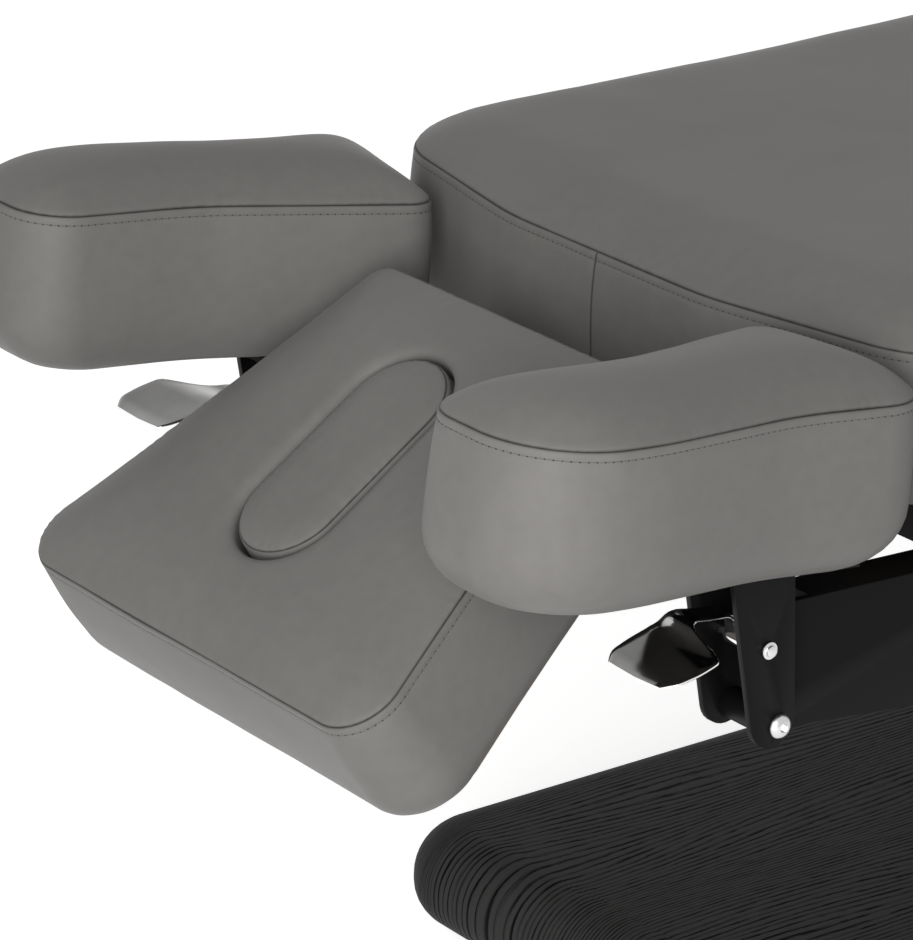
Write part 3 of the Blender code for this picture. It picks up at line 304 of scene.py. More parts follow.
rows = [(NOSE_BELOW * (1 - math.sin(a)), low[2] + NOSE_BELOW * (1 - math.cos(a)))
        for a in np.linspace(0, math.pi / 2, 9)]
rows += [(NOSE_ABOVE * (1 - math.cos(a)), high[2] - NOSE_ABOVE * (1 - math.sin(a)))
         for a in np.linspace(0, math.pi / 2, 12)]
rings = [np.column_stack([edge + inward * inset, np.full(len(edge), z)]) for inset, z in rows]
points = np.vstack(rings)
faces = wall(rings, len(edge))
faces.append(tuple(range(len(points) - len(edge), len(points))))
faces.append(tuple(reversed(range(len(edge)))))
mesh = bpy.data.meshes.new("base_platform_veneer")
mesh.from_pydata([tuple(p) for p in points], [], faces)
mesh.shade_smooth()
mesh.materials.append(veneer)
platform = bpy.data.objects.new("base_platform_veneer", mesh)
scene.collection.objects.link(platform)
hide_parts("base_platform")
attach(platform, "base")

rubber, shader, place = surface("black_rubber", {"Specular IOR Level": 0.3})
speckle = place.noise(place, 900.0, 2.0)
feed(shader, Base_Color=speckle.tint((0.010, 0.010, 0.010), (0.024, 0.024, 0.024)),
     Roughness=0.72 + speckle * 0.2, Normal=speckle.bump(0.2, 0.0004))
dress(rubber, "levelling_foot_head_left", "levelling_foot_head_right",
      "levelling_foot_foot_left", "levelling_foot_foot_right")

# Lifting columns, top frame and section frames: welded steel in satin black powder coat, bolted
# together. Each piece gets its edges softened, as the coat rounds them.
powder, shader, place = surface("black_powder_coat", {"Specular IOR Level": 0.07})
peel = place.noise(place, 420.0, 3.0)
cloud = place.noise(place, 7.0, 2.0)
feed(shader, Base_Color=cloud.tint((0.0030, 0.0030, 0.0031), (0.0050, 0.0050, 0.0052)),
     Roughness=0.40 + cloud * 0.14, Normal=peel.bump(0.10, 0.0003))
record = frame["record"]
slot_of = {entry["node"]: entry["material_slot"] for entry in record["subparts"]}
body_of = {name: body for body, names in record["behaviour"]["bodies"].items() for name in names}


def softened(name, width, material):
    """Copy a steel node with its sharp edges rounded; the copy stands for the node."""
    mesh = nodes[name].data.copy()
    shape = bmesh.new()
    shape.from_mesh(mesh)
    bmesh.ops.remove_doubles(shape, verts=shape.verts, dist=0.00002)
    bmesh.ops.dissolve_limit(shape, angle_limit=math.radians(1.0), verts=shape.verts, edges=shape.edges)
    shape.to_mesh(mesh)
    shape.free()
    mesh.materials.clear()
    mesh.materials.append(material)
    piece = bpy.data.objects.new(name + "_finish", mesh)
    scene.collection.objects.link(piece)
    rounding = piece.modifiers.new("rounding", "BEVEL")
    rounding.width = width
    rounding.segments = 2
    rounding.limit_method = "ANGLE"
    rounding.angle_limit = math.radians(40.0)
    bpy.context.view_layer.update()
    piece.data = bpy.data.meshes.new_from_object(piece.evaluated_get(bpy.context.evaluated_depsgraph_get()))
    piece.modifiers.clear()
    piece.data.shade_smooth()
    piece.data.set_sharp_from_angle(angle=math.radians(35.0))
    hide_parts(name)
    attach(piece, body_of[name])


for name, slot in slot_of.items():
    if slot == "black_steel":
        softened(name, 0.0007, powder)

# Hinge rods, hinge bolts and actuator rods: turned steel, bright zinc-plated or ground.
# They run through the hinge plates, and the actuator rods slide in their tubes.
zinc, shader, place = surface("bright_zinc", {"Metallic": 1.0})
bloom = place.noise(place, 60.0, 3.0)
feed(shader, Base_Color=bloom.tint((0.50, 0.50, 0.51), (0.66, 0.66, 0.65)), Roughness=0.22 + bloom * 0.14)
for name, slot in slot_of.items():
    if slot == "zinc_steel" and "lever_pin" not in name and "pivot_bolt" not in name:
        softened(name, 0.0005, zinc)

# Actuator tubes and control box: moulded black plastic with a fine spark-eroded texture.
# The tubes hang on pivot pins, and the box is screwed to the base.
plastic, shader, place = surface("black_plastic", {"Specular IOR Level": 0.16})
texture = place.noise(place, 1300.0, 2.0)
tone = place.noise(place, 12.0, 2.0)
feed(shader, Base_Color=tone.tint((0.012, 0.012, 0.013), (0.020, 0.020, 0.021)),
     Roughness=0.46 + tone * 0.12, Normal=texture.bump(0.22, 0.0003))
for name, slot in slot_of.items():
    if slot == "black_plastic":
        softened(name, 0.0012, plastic)

# Boards: birch plywood under every flat cushion and the headrest, the plies showing along the
# edges. Each is sawn to its cushion's outline and screwed to the frame.
HEADREST_TILT = math.radians(33.7)
for name, lean in (("backrest_board", 0.0), ("seat_board", 0.0), ("leg_board", 0.0),
                   ("headrest_board", HEADREST_TILT)):
    ply, shader, place = surface(name + "_ply", {"Specular IOR Level": 0.3})
    normal_up = place.put("ShaderNodeTexCoord", {}, "Normal")
    depth = place.part(2) * math.cos(lean) - place.part(0) * math.sin(lean)
    facing = normal_up.part(2) * math.cos(lean) - normal_up.part(0) * math.sin(lean)
    edge = 1.0 - place.math("ABSOLUTE", facing).between(0.4, 0.6)
    plies = place.math("PINGPONG", depth * 660.0, 1.0).between(0.35, 0.65)
    figure = place.noise(place.vector(place.part(0) * 3.0, place.part(1) * 40.0, depth * 20.0), 1.0, 4.0)
    tone = figure * (1.0 - edge) + (plies * 0.8 + figure * 0.2) * edge
    feed(shader, Base_Color=tone.tint((0.30, 0.19, 0.10), (0.56, 0.41, 0.26)),
         Roughness=0.55 + figure * 0.15, Normal=figure.bump(0.15, 0.0005))
    dress(ply, name)


# Flat cushions: foam boxes in soft grey artificial leather, a top panel sewn to the band and
# topstitched below the seam. Each is stapled to its board.
leather, shader, place = surface("grey_leather", {"Specular IOR Level": 0.09, "Sheen Weight": 0.04})
# Painted shade: the seam attribute darkens the leather's colour to near black along each seam fold and the
# upright seam, and roughens it there.
painted_seam_shade = place.put("ShaderNodeAttribute", {}, "Fac", attribute_name="seam")
shade = place.noise(place, 5.0, 3.0)
grain = place.put("ShaderNodeTexVoronoi", {"Vector": place, "Scale": 760.0}, "Distance")
fine = place.noise(place, 1900.0, 2.0)
mottle = place.noise(place, 90.0, 3.0)
tone = shade * 0.6 + mottle * 0.4 - painted_seam_shade * 2.2
feed(shader, Base_Color=tone.between(-1.7, 0.85).tint((0.010, 0.0098, 0.0094), (0.172, 0.166, 0.158)),
     Roughness=0.40 + mottle * 0.12 + painted_seam_shade * 0.3,
     Normal=(grain * 0.8 + fine * 0.35).bump(0.07, 0.0004))
thread, shader, place = surface("grey_thread", {"Specular IOR Level": 0.3})
twist = place.put("ShaderNodeTexWave", {"Vector": place, "Scale": 420.0, "Distortion": 1.0}, "Fac")
feed(shader, Base_Color=twist.tint((0.085, 0.083, 0.079), (0.155, 0.150, 0.143)),
     Roughness=0.55 + twist * 0.2, Normal=twist.bump(0.3, 0.0002))
# Painted shade: a near-black raised dot between each two stitches stands in for the shade inside the needle
# hole.
needle_hole, shader, place = surface("needle_hole", {"Roughness": 0.9})
dimple = place.noise(place, 700.0, 2.0)
feed(shader, Base_Color=dimple.tint((0.012, 0.012, 0.011), (0.030, 0.029, 0.028)))
BED_ZERO_X = -0.62473


def distance_to(points, plan):
    """Distance of each point to a closed outline."""
    ends = np.roll(plan, -1, axis=0) - plan
    lengths = np.maximum(np.sum(ends ** 2, axis=1), 1e-12)
    best = np.full(len(points), 9.0)
    for start, edge, length in zip(plan, ends, lengths):
        away = points - start
        t = np.clip(away @ edge / length, 0.0, 1.0)
        best = np.minimum(best, np.linalg.norm(away - t[:, None] * edge, axis=1))
    return best


SEAM_RINGS = (-0.016, -0.012, -0.0095, -0.0078, -0.0066, -0.0054, -0.004, -0.0024, -0.0013, -0.0006, 0.0,
              0.0006, 0.0013, 0.0024, 0.004, 0.006, 0.009, 0.013)
STITCH_LINE = -0.0066
SEAM_WIDTH = 0.0008
UPRIGHT_WIDTH = 0.0010
STITCH_WIDTH = 0.0016
LIP_PLACE = 0.0042
LIP_WIDTH = 0.0024
CREASE_REACH = 0.010
SHRINK = 0.002
SEAM_DRAW = 0.004


def drawn_in(plan, inset):
    """Outline scaled about the middle of its box so that each side of the box moves in by inset."""
    low, high = plan.min(axis=0), plan.max(axis=0)
    middle, half = (low + high) / 2, (high - low) / 2
    return middle + (plan - middle) * (half - inset) / half


def depth_in(points, plan):
    """Smooth distance from an outline: every stretch of it counts, so no ridge forms between two sides."""
    ends = np.roll(plan, -1, axis=0)
    near = distance_to(points, plan)
    pull = np.zeros(len(points))
    for start, end in zip(plan, ends):
        away = points - (start + end) / 2
        pull += np.linalg.norm(end - start) / np.maximum(np.sum(away ** 2, axis=1), 1e-7) ** 2.5
    return np.where(near < 0.004, near, (0.75 * pull) ** -0.25)


def section(band, tuck):
    """Band of a cushion from its bottom edge to its seam: inset, height and distance below the seam."""
    rows = [(tuck * (1 - math.sin(a)), tuck * (1 - math.cos(a)), -band)
            for a in np.linspace(0, math.pi / 2, 10)]
    for height in np.linspace(tuck, band + SEAM_RINGS[0], 12)[1:]:
        rows.append((0.0, height, height - band))
    rows += [(0.0, band + step, step) for step in SEAM_RINGS[1:11]]
    return [(inset + SEAM_DRAW * max(0.0, 2 * z / band - 1) ** 2, z, d) for inset, z, d in rows]


TWIN_VOXEL = 0.0075
FOAM_PRESSURE = 4.0
BLOW_FRAMES = 20


def settle(points, faces, held, cap):
    """Blow the cushion up as cloth under light pressure and return how far each point moved."""
    twin = bpy.data.objects.new("twin", bpy.data.meshes.new("twin"))
    twin.data.from_pydata([tuple(p) for p in points], [], faces)
    scene.collection.objects.link(twin)
    bpy.context.view_layer.objects.active = twin
    twin.data.remesh_voxel_size = TWIN_VOXEL
    bpy.ops.object.voxel_remesh()
    count = len(twin.data.vertices)
    rest = np.empty(count * 3)
    twin.data.vertices.foreach_get("co", rest)
    rest = rest.reshape(-1, 3)
    grip = twin.vertex_groups.new(name="grip")
    for index, weight in enumerate(held(rest)):
        if weight > 0.0:
            grip.add([index], weight, "REPLACE")
    cloth = twin.modifiers.new("cloth", "CLOTH")
    cloth.settings.quality = 4
    cloth.settings.use_pressure = True
    cloth.settings.uniform_pressure_force = FOAM_PRESSURE
    cloth.settings.vertex_group_mass = "grip"
    cloth.settings.effector_weights.gravity = 0.0
    cloth.collision_settings.use_collision = False
    cloth.point_cache.frame_end = BLOW_FRAMES
    for step in range(1, BLOW_FRAMES + 1):
        scene.frame_set(step)
    blown = twin.evaluated_get(bpy.context.evaluated_depsgraph_get()).to_mesh()
    after = np.empty(count * 3)
    blown.vertices.foreach_get("co", after)
    moved = after.reshape(-1, 3) - rest
    scene.frame_set(1)
    ends = np.empty(len(twin.data.edges) * 2, dtype=np.int32)
    twin.data.edges.foreach_get("vertices", ends)
    ends = ends.reshape(-1, 2)
    degree = np.bincount(ends.ravel(), minlength=count)[:, None]
    for _ in range(14):
        around = [np.bincount(ends[:, 0], moved[ends[:, 1], k], count)
                  + np.bincount(ends[:, 1], moved[ends[:, 0], k], count) for k in range(3)]
        moved = 0.4 * moved + 0.6 * np.column_stack(around) / degree
    size = np.maximum(np.linalg.norm(moved, axis=1), 1e-9)
    moved *= (cap * np.tanh(size / cap) / size)[:, None]
    corners = [Vector(p) for p in rest]
    polygons = [tuple(p.vertices) for p in twin.data.polygons]
    tree = BVHTree.FromPolygons(corners, polygons)
    shift = np.zeros_like(points)
    for index, point in enumerate(points):
        spot, _, polygon, _ = tree.find_nearest(Vector(point))
        ring = polygons[polygon]
        weights = poly_3d_calc([corners[v] for v in ring], spot)
        shift[index] = sum(w * moved[v] for w, v in zip(weights, ring))
    bpy.data.objects.remove(twin)
    return shift


def finish_pad(name, points, faces, marks_seam, seam_gap, stations, tops, matrix, body, node):
    """Press in seams and stitch line, add creases and unevenness, paint shade along the seams, and hand the
    cushion over.
    """
    mesh = bpy.data.meshes.new(name)
    mesh.from_pydata([tuple(p) for p in points], [], faces)
    mesh.update()
    normals = np.empty(len(points) * 3)
    mesh.vertex_normals.foreach_get("vector", normals)
    normals = normals.reshape(-1, 3)
    groove = np.exp(-(seam_gap / SEAM_WIDTH) ** 2)
    upright = np.exp(-(marks_seam / UPRIGHT_WIDTH) ** 2)
    stitch_dip = np.exp(-((seam_gap - STITCH_LINE) / STITCH_WIDTH) ** 2)
    lips = np.exp(-((np.abs(seam_gap) - LIP_PLACE) / LIP_WIDTH) ** 2)
    waves = np.sin(stations * 620.0 + 2.0 * np.sin(stations * 131.0)) * (0.5 + 0.5 * np.sin(stations * 47.0))
    creases = waves * np.exp(-np.abs(seam_gap) / CREASE_REACH) * np.where(seam_gap > 0.0, 1.0, 0.35)
    lift = 0.0003 * lips - 0.0011 * groove - 0.0011 * upright - 0.00045 * stitch_dip + 0.00028 * creases
    for index, point in enumerate(points):
        spot = Vector(point)
        lift[index] += (0.0009 * noise.noise(spot * 9.0) + 0.0004 * noise.noise(spot * 26.0)) * tops[index]
    points = points + normals * lift[:, None]
    mesh.vertices.foreach_set("co", points.ravel())
    mesh.transform(matrix)
    mesh.update()
    # Painted shade for the seam folds and the upright seam, stored for the leather's colour.
    seam_shade_paint = mesh.attributes.new("seam", "FLOAT", "POINT")
    seam_shade_paint.data.foreach_set("value", np.maximum(groove, upright * 0.8))
    mesh.shade_smooth()
    mesh.materials.append(leather)
    piece = bpy.data.objects.new(name, mesh)
    scene.collection.objects.link(piece)
    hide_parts(node)
    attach(piece, body)
    return piece


def stitch_shape(name, length, width, height, ahead, material):
    """Small pillow that one stitch or one dot of painted needle-hole shade is made from, lying along X."""
    shape = bmesh.new()
    bmesh.ops.create_uvsphere(shape, u_segments=8, v_segments=6, radius=0.5)
    bmesh.ops.rotate(shape, verts=shape.verts, matrix=Matrix.Rotation(math.pi / 2, 3, "Y"))
    bmesh.ops.scale(shape, verts=shape.verts, vec=(length, width, height))
    bmesh.ops.translate(shape, verts=shape.verts, vec=(ahead, 0.0, 0.0))
    mesh = bpy.data.meshes.new(name)
    shape.to_mesh(mesh)
    shape.free()
    mesh.shade_smooth()
    mesh.materials.append(material)
    return bpy.data.objects.new(name, mesh)


row = bpy.data.node_groups.new("stitch_row", "GeometryNodeTree")
row_in = {}
for label, kind in (("Line", "NodeSocketGeometry"), ("Stitch", "NodeSocketObject"),
                    ("Pitch", "NodeSocketFloat"), ("Finish", "NodeSocketMaterial")):
    row_in[label] = row.interface.new_socket(label, in_out="INPUT", socket_type=kind).identifier
row.interface.new_socket("Stitches", in_out="OUTPUT", socket_type="NodeSocketGeometry")
entry = row.nodes.new("NodeGroupInput")
leave = row.nodes.new("NodeGroupOutput")
to_curve = row.nodes.new("GeometryNodeMeshToCurve")
spread = row.nodes.new("GeometryNodeResampleCurve")
spread.mode = "LENGTH"
tangent = row.nodes.new("GeometryNodeInputTangent")
out_vector = row.nodes.new("GeometryNodeInputNamedAttribute")
out_vector.data_type = "FLOAT_VECTOR"
out_vector.inputs["Name"].default_value = "out"
lengthwise = row.nodes.new("FunctionNodeAlignRotationToVector")
lengthwise.axis = "X"
standing = row.nodes.new("FunctionNodeAlignRotationToVector")
standing.axis = "Z"
standing.pivot_axis = "X"
stitch_info = row.nodes.new("GeometryNodeObjectInfo")
place_all = row.nodes.new("GeometryNodeInstanceOnPoints")
realize = row.nodes.new("GeometryNodeRealizeInstances")
paint = row.nodes.new("GeometryNodeSetMaterial")
row.links.new(entry.outputs["Line"], to_curve.inputs["Mesh"])
row.links.new(to_curve.outputs["Curve"], spread.inputs["Curve"])
row.links.new(entry.outputs["Pitch"], spread.inputs["Length"])
row.links.new(tangent.outputs["Tangent"], lengthwise.inputs["Vector"])
row.links.new(lengthwise.outputs["Rotation"], standing.inputs["Rotation"])
row.links.new(out_vector.outputs["Attribute"], standing.inputs["Vector"])
row.links.new(entry.outputs["Stitch"], stitch_info.inputs["Object"])
row.links.new(spread.outputs["Curve"], place_all.inputs["Points"])
row.links.new(stitch_info.outputs["Geometry"], place_all.inputs["Instance"])
row.links.new(standing.outputs["Rotation"], place_all.inputs["Rotation"])
row.links.new(place_all.outputs["Instances"], realize.inputs["Geometry"])
row.links.new(realize.outputs["Geometry"], paint.inputs["Geometry"])
row.links.new(entry.outputs["Finish"], paint.inputs["Material"])
row.links.new(paint.outputs["Geometry"], leave.inputs["Stitches"])


STITCH_PITCH = 0.0056


def sew(pad, first, count, body):
    """Lay a row of stitches along one ring of a cushion's points, with a near-black dot of painted shade for
    the needle hole between each two.
    """
    ring = range(first, first + count)
    line = bpy.data.meshes.new("line")
    mesh = pad.data
    links = [(i, (i + 1) % count) for i in range(count)]
    line.from_pydata([tuple(mesh.vertices[i].co) for i in ring], links, [])
    out = line.attributes.new("out", "FLOAT_VECTOR", "POINT")
    out.data.foreach_set("vector", np.array([mesh.vertex_normals[i].vector for i in ring]).ravel())
    length = sum((line.vertices[a].co - line.vertices[b].co).length for a, b in links)
    step = length / round(length / STITCH_PITCH)
    for label, size, ahead, material in (
            ("stitches", (0.0041, 0.0010, 0.0009), 0.0, thread),
            ("needle_holes", (0.0015, 0.0012, 0.0005), STITCH_PITCH / 2, needle_hole)):
        stitch = stitch_shape(label, *size, ahead, material)
        piece = bpy.data.objects.new(pad.name + "_" + label, line.copy())
        scene.collection.objects.link(piece)
        rows = piece.modifiers.new("rows", "NODES")
        rows.node_group = row
        rows[row_in["Stitch"]] = stitch
        rows[row_in["Pitch"]] = step
        rows[row_in["Finish"]] = material
        bpy.context.view_layer.update()
        sewn = bpy.data.meshes.new_from_object(piece.evaluated_get(bpy.context.evaluated_depsgraph_get()))
        piece.modifiers.clear()
        piece.data = sewn
        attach(piece, body)


def cushion(name, plan, bottom, band, crown, tuck, roll, cap, matrix, body, node, pocket=(), slot=None):
    """Boxed cushion: a pocket for its board, a band, and a top panel that rolls over to the seam.

    The top runs to the middle, or down into a slot whose outline has one point for each of the plan's.
    """
    edge, stations, from_mark = plan
    edge = edge - outward(edge) * SHRINK
    normal = outward(edge)
    count = len(edge)
    rows = section(band, tuck)
    rings = []
    if pocket:
        rows = [row for row in rows if row[0] < pocket[0] - 0.0008]
        lip = drawn_in(edge, pocket[0])
        rings = [np.column_stack([lip, np.full(count, z)]) for z in (pocket[1], rows[0][1])]
    gaps = [-band] * len(rings)
    loose = [0.0] * len(rings)
    for inset, z, gap in rows:
        drawn = drawn_in(edge, inset) if z < tuck else edge - normal * inset
        rings.append(np.column_stack([drawn, np.full(count, z)]))
        gaps.append(gap)
        loose.append(min(1.0, z / 0.03))
    shoulder = edge - normal * SEAM_DRAW
    top_from = len(rings)
    for step in SEAM_RINGS[11:]:
        rings.append(np.column_stack([shoulder - normal * step, np.zeros(count)]))
        gaps.append(step)
    inner = shoulder - normal * SEAM_RINGS[-1]
    loop = np.vstack([inner, inner[:1]])
    run = np.concatenate([[0.0], np.cumsum(np.linalg.norm(np.diff(loop, axis=0), axis=1))])
    places = np.arange(count) * run[-1] / count
    even = np.column_stack([np.interp(places, run, loop[:, k]) for k in (0, 1)])
    centre = (edge.max(axis=0) + edge.min(axis=0)) / 2
    if slot is None:
        goal = centre
        last_steps = np.linspace(0.55, 0.97, 9)[1:]
    else:
        goal = slot
        last_steps = (0.64, 0.73, 0.81, 0.87, 0.915, 0.95, 0.975, 0.99, 1.0)
    for t in np.concatenate([np.linspace(0.0, 0.55, 16)[1:], last_steps]):
        start = inner + (even - inner) * min(1.0, t / 0.3)
        rings.append(np.column_stack([start + (goal - start) * t, np.zeros(count)]))
        gaps.append(0.1)
    top = np.vstack([ring[:, :2] for ring in rings[top_from:]])
    rise = crown * (1 - (1 - np.clip(depth_in(top, shoulder) / roll, 0.0, 1.0)) ** 2.6)
    if slot is not None:
        near = np.clip(distance_to(top, slot) / 0.009, 0.0, 1.0)
        rise -= 0.007 * (1 - np.sqrt(1 - (1 - near) ** 2))
    for ring, height in zip(rings[top_from:], (band + rise).reshape(-1, count)):
        ring[:, 2] = height
    loose += [1.0] * (len(rings) - len(loose))
    if slot is not None:
        for z in np.linspace(rings[-1][:, 2].mean() - 0.002, pocket[1], 12):
            rings.append(np.column_stack([slot, np.full(count, z)]))
            gaps.append(0.1)
            loose.append(0.0)
    points = np.vstack(rings)
    faces = wall(rings, count, slot is not None)
    spare = 0
    if slot is None:
        spare = 2
        last = len(points) - count
        faces += [(last + i, last + (i + 1) % count, len(points)) for i in range(count)]
        faces += [((i + 1) % count, i, len(points) + 1) for i in range(count)]
        points = np.vstack([points, [*centre, rings[-1][:, 2].mean()], [*centre, rings[0][0, 2]]])
    if np.sum(edge[:, 0] * np.roll(edge[:, 1], -1) - edge[:, 1] * np.roll(edge[:, 0], -1)) < 0:
        faces = [face[::-1] for face in faces]
    points[:, 2] += bottom

    def held(rest):
        """Staples and glue hold the bottom and the slot, and the seam gives less than the panels."""
        grip = np.where(rest[:, 2] < bottom + 0.016, 1.0, 0.0)
        rim = np.exp(-((rest[:, 2] - bottom - band) / 0.007) ** 2)
        grip = np.maximum(grip, 0.85 * rim * np.exp(-(distance_to(rest[:, :2], shoulder) / 0.007) ** 2))
        if slot is not None:
            grip = np.maximum(grip, np.exp(-(distance_to(rest[:, :2], slot) / 0.008) ** 2))
        return grip

    freedom = np.concatenate([np.repeat(loose, count), [1.0, 0.0][:spare]])
    points = points + settle(points, faces, held, cap) * freedom[:, None]
    seam_gap = np.concatenate([np.repeat(gaps, count), [0.1, -band][:spare]])
    to_mark = np.concatenate([np.tile(from_mark, len(rings)), [1.0, 1.0][:spare]])
    on_band = np.where(seam_gap < 0.0, to_mark, 1.0)
    along_seam = np.concatenate([np.tile(stations, len(rings)), [0.0, 0.0][:spare]])
    pad = finish_pad(name, points, faces, on_band, seam_gap, along_seam, freedom, matrix, body, node)
    sew(pad, gaps.index(STITCH_LINE) * count, count, body)


flat = Matrix.Translation((BED_ZERO_X, 0.0, 0.0))
for name, body, start, end, radii, nose, marks in (
        ("backrest", "backrest", 0.039, 0.620, (0.092, 0.060, 0.060, 0.092, 0.250, 0.250),
         [(-0.003, 0.112), (-0.003, -0.112)], [(-0.003, 0.010)]),
        ("seat", "top_frame", 0.636, 1.036, (0.060,) * 4, [], []),
        ("leg", "leg_section", 1.052, 1.608, (0.060, 0.075, 0.075, 0.060), [], [(1.608, 0.010)])):
    corners = [(start, -0.330), (end, -0.330), (end, 0.330), (start, 0.330)] + nose
    plan = outline(corners, radii, (0.003, 0.0, 0.003, 0.0, 0.0, 0.0), 0.0034, marks)
    cushion(name + "_upholstery", plan, bottom=0.5047, band=0.1153, crown=0.0240, tuck=0.025, roll=0.065,
            cap=0.004, matrix=flat, body=body, node=name + "_cushion", pocket=(0.0197, 0.0153))

# Armrest cushions: the same build on short curved pads, pitched up towards the head and fuller
# below, each screwed to its clevis plate.
ARM_SEAM = 0.611
ARM_BAND = 0.120
ARM_PITCH = math.radians(6.3)
pitch_up = Matrix.Translation((BED_ZERO_X, 0.0, ARM_SEAM)) @ Matrix.Rotation(ARM_PITCH, 4, "Y")
for side_name, side in (("left", 1.0), ("right", -1.0)):
    corners = [(-0.328, 0.220), (-0.190, 0.220), (-0.006, 0.171), (0.038, 0.352), (-0.095, 0.345),
               (-0.225, 0.367), (-0.328, 0.368)]
    plan = outline([(x, side * y) for x, y in corners], (0.045, 0.250, 0.028, 0.045, 0.250, 0.300, 0.074),
                   (0.0,) * 7, 0.0026, [(0.0, side * 0.176)])
    cushion("armrest_upholstery_" + side_name, plan, bottom=-ARM_BAND, band=ARM_BAND, crown=0.0310,
            tuck=0.045, roll=0.085, cap=0.0035, matrix=pitch_up, body="armrest_" + side_name,
            node="armrest_cushion_" + side_name)

# Headrest cushion: a tapered pad with a stadium slot through it, the top leather rolled into the
# slot. It is stapled to its own board and tilts with it.
tilt = Matrix.Translation((BED_ZERO_X - 0.016, 0.0, 0.498)) @ Matrix.Rotation(-HEADREST_TILT, 4, "Y")
slot_middle = -0.1583
slot_run = 0.049
SLOT_RADIUS = 0.0475


def stadium(radius, shares):
    """Points round the slot, one for each share of the way round."""
    straight = 2 * slot_run
    whole = 2 * straight + 2 * math.pi * radius
    points = []
    for share in shares:
        run = share * whole
        if run < straight:
            points.append((slot_middle - slot_run + run, -radius))
            continue
        run -= straight
        if run < math.pi * radius:
            turn = run / radius - math.pi / 2
            points.append((slot_middle + slot_run + radius * math.cos(turn), radius * math.sin(turn)))
            continue
        run -= math.pi * radius
        if run < straight:
            points.append((slot_middle + slot_run - run, radius))
            continue
        turn = (run - straight) / radius + math.pi / 2
        points.append((slot_middle - slot_run + radius * math.cos(turn), radius * math.sin(turn)))
    return np.array(points)


plan = outline([(-0.3363, -0.223), (-0.0003, -0.145), (-0.0003, 0.145), (-0.3363, 0.223)],
               (0.042, 0.024, 0.024, 0.042), (0.003, 0.0, 0.003, 0.0), 0.0026)
count = len(plan[0])
first = int(np.argmin(np.linalg.norm(plan[0] - np.array([slot_middle - 0.09, -0.182]), axis=1)))
slot = stadium(SLOT_RADIUS, ((np.arange(count) - first) % count) / count)
cushion("headrest_upholstery", plan, bottom=0.0053, band=0.1123, crown=0.0150, tuck=0.036, roll=0.070,
        cap=0.0035, matrix=tilt, body="headrest", node="headrest_cushion", pocket=(0.0237, 0.0123), slot=slot)

# Face plug: a loose padded insert in the slot, its top panel sewn to a narrow band just inside
# the edge. It lies on the ledge of the headrest board.
PLUG_RADIUS = 0.0445
PLUG_BOTTOM = 0.0176
PLUG_ROUND = 0.004
PLUG_DRAW = 0.0016
count = 260
shares = np.arange(count) / count
edge = stadium(PLUG_RADIUS, shares)
normal = outward(edge)
band, crown = 0.1125, 0.0042
rows = [(PLUG_ROUND * (1 - math.sin(a)), PLUG_ROUND * (1 - math.cos(a)), -band)
        for a in np.linspace(0, math.pi / 2, 4)]
rows += [(0.0, z, z - band) for z in np.linspace(0.010, band - 0.016, 8)]
rows += [(PLUG_DRAW * (1 + step / 0.016) ** 2, band + step, step) for step in SEAM_RINGS[1:11]]
rows += [(PLUG_DRAW + step, band + crown * (1 - (1 - min(1.0, step / 0.022)) ** 2.4), step)
         for step in SEAM_RINGS[11:] + (0.018, 0.024, 0.031, 0.038)]
rings = [np.column_stack([edge - normal * inset, np.full(count, PLUG_BOTTOM + z)]) for inset, z, _ in rows]
points = np.vstack(rings)
faces = wall(rings, count)
faces.append(tuple(range(len(points) - count, len(points))))
faces.append(tuple(reversed(range(count))))
seam_gap = np.repeat([gap for _, _, gap in rows], count)
finish_pad("face_plug_upholstery", points, faces, np.ones(len(points)), seam_gap,
           np.tile(shares * 0.48, len(rings)), np.full(len(points), 0.5), tilt, "face_plug", "face_plug")

# Release levers: polished chrome strip, cranked up out of the clevis and spread into a dished
# paddle for the fingers. Each swings on its pin between the clevis cheeks.
chrome, shader, place = surface("polished_chrome", {"Metallic": 1.0})
smudge = place.noise(place, 38.0, 4.0)
# Painted reflection: where the chrome faces up its colour turns near black, standing in for a dark reflection
# on the lever tops.
painted_dark_reflection = place.put("ShaderNodeTexCoord", {}, "Normal").part(2).between(0.80, 0.975)
feed(shader, Base_Color=(painted_dark_reflection * (0.9 + smudge * 0.1)).tint((0.80, 0.795, 0.785), (0.11, 0.108, 0.106)),
     Roughness=0.045 + smudge * 0.06)
BOLT_X, BOLT_Z = BED_ZERO_X - 0.0726, 0.3835
PIN_X, PIN_Z = BOLT_X - 0.010, BOLT_Z + 0.057
LEVER_STEPS = 40
LEVER_ROUND = 24
LEVER_HALF = 0.0016
LEVER_DISH = 0.0026
HUB_BORE, HUB_RADIUS = 0.0043, 0.0080
HUB_NEAR, HUB_FAR = 0.2575, 0.2745
HUB_ROUND = 32
stations = np.array([
    (-0.0160, 0.0690, 0.257, 0.275), (-0.0260, 0.0790, 0.257, 0.276), (-0.0450, 0.0815, 0.257, 0.278),
    (-0.0600, 0.0850, 0.257, 0.281), (-0.0680, 0.0835, 0.257, 0.286), (-0.0745, 0.0790, 0.258, 0.319),
    (-0.0800, 0.0765, 0.259, 0.335), (-0.0990, 0.0725, 0.260, 0.337), (-0.1160, 0.0690, 0.263, 0.335),
    (-0.1240, 0.0660, 0.271, 0.326)])
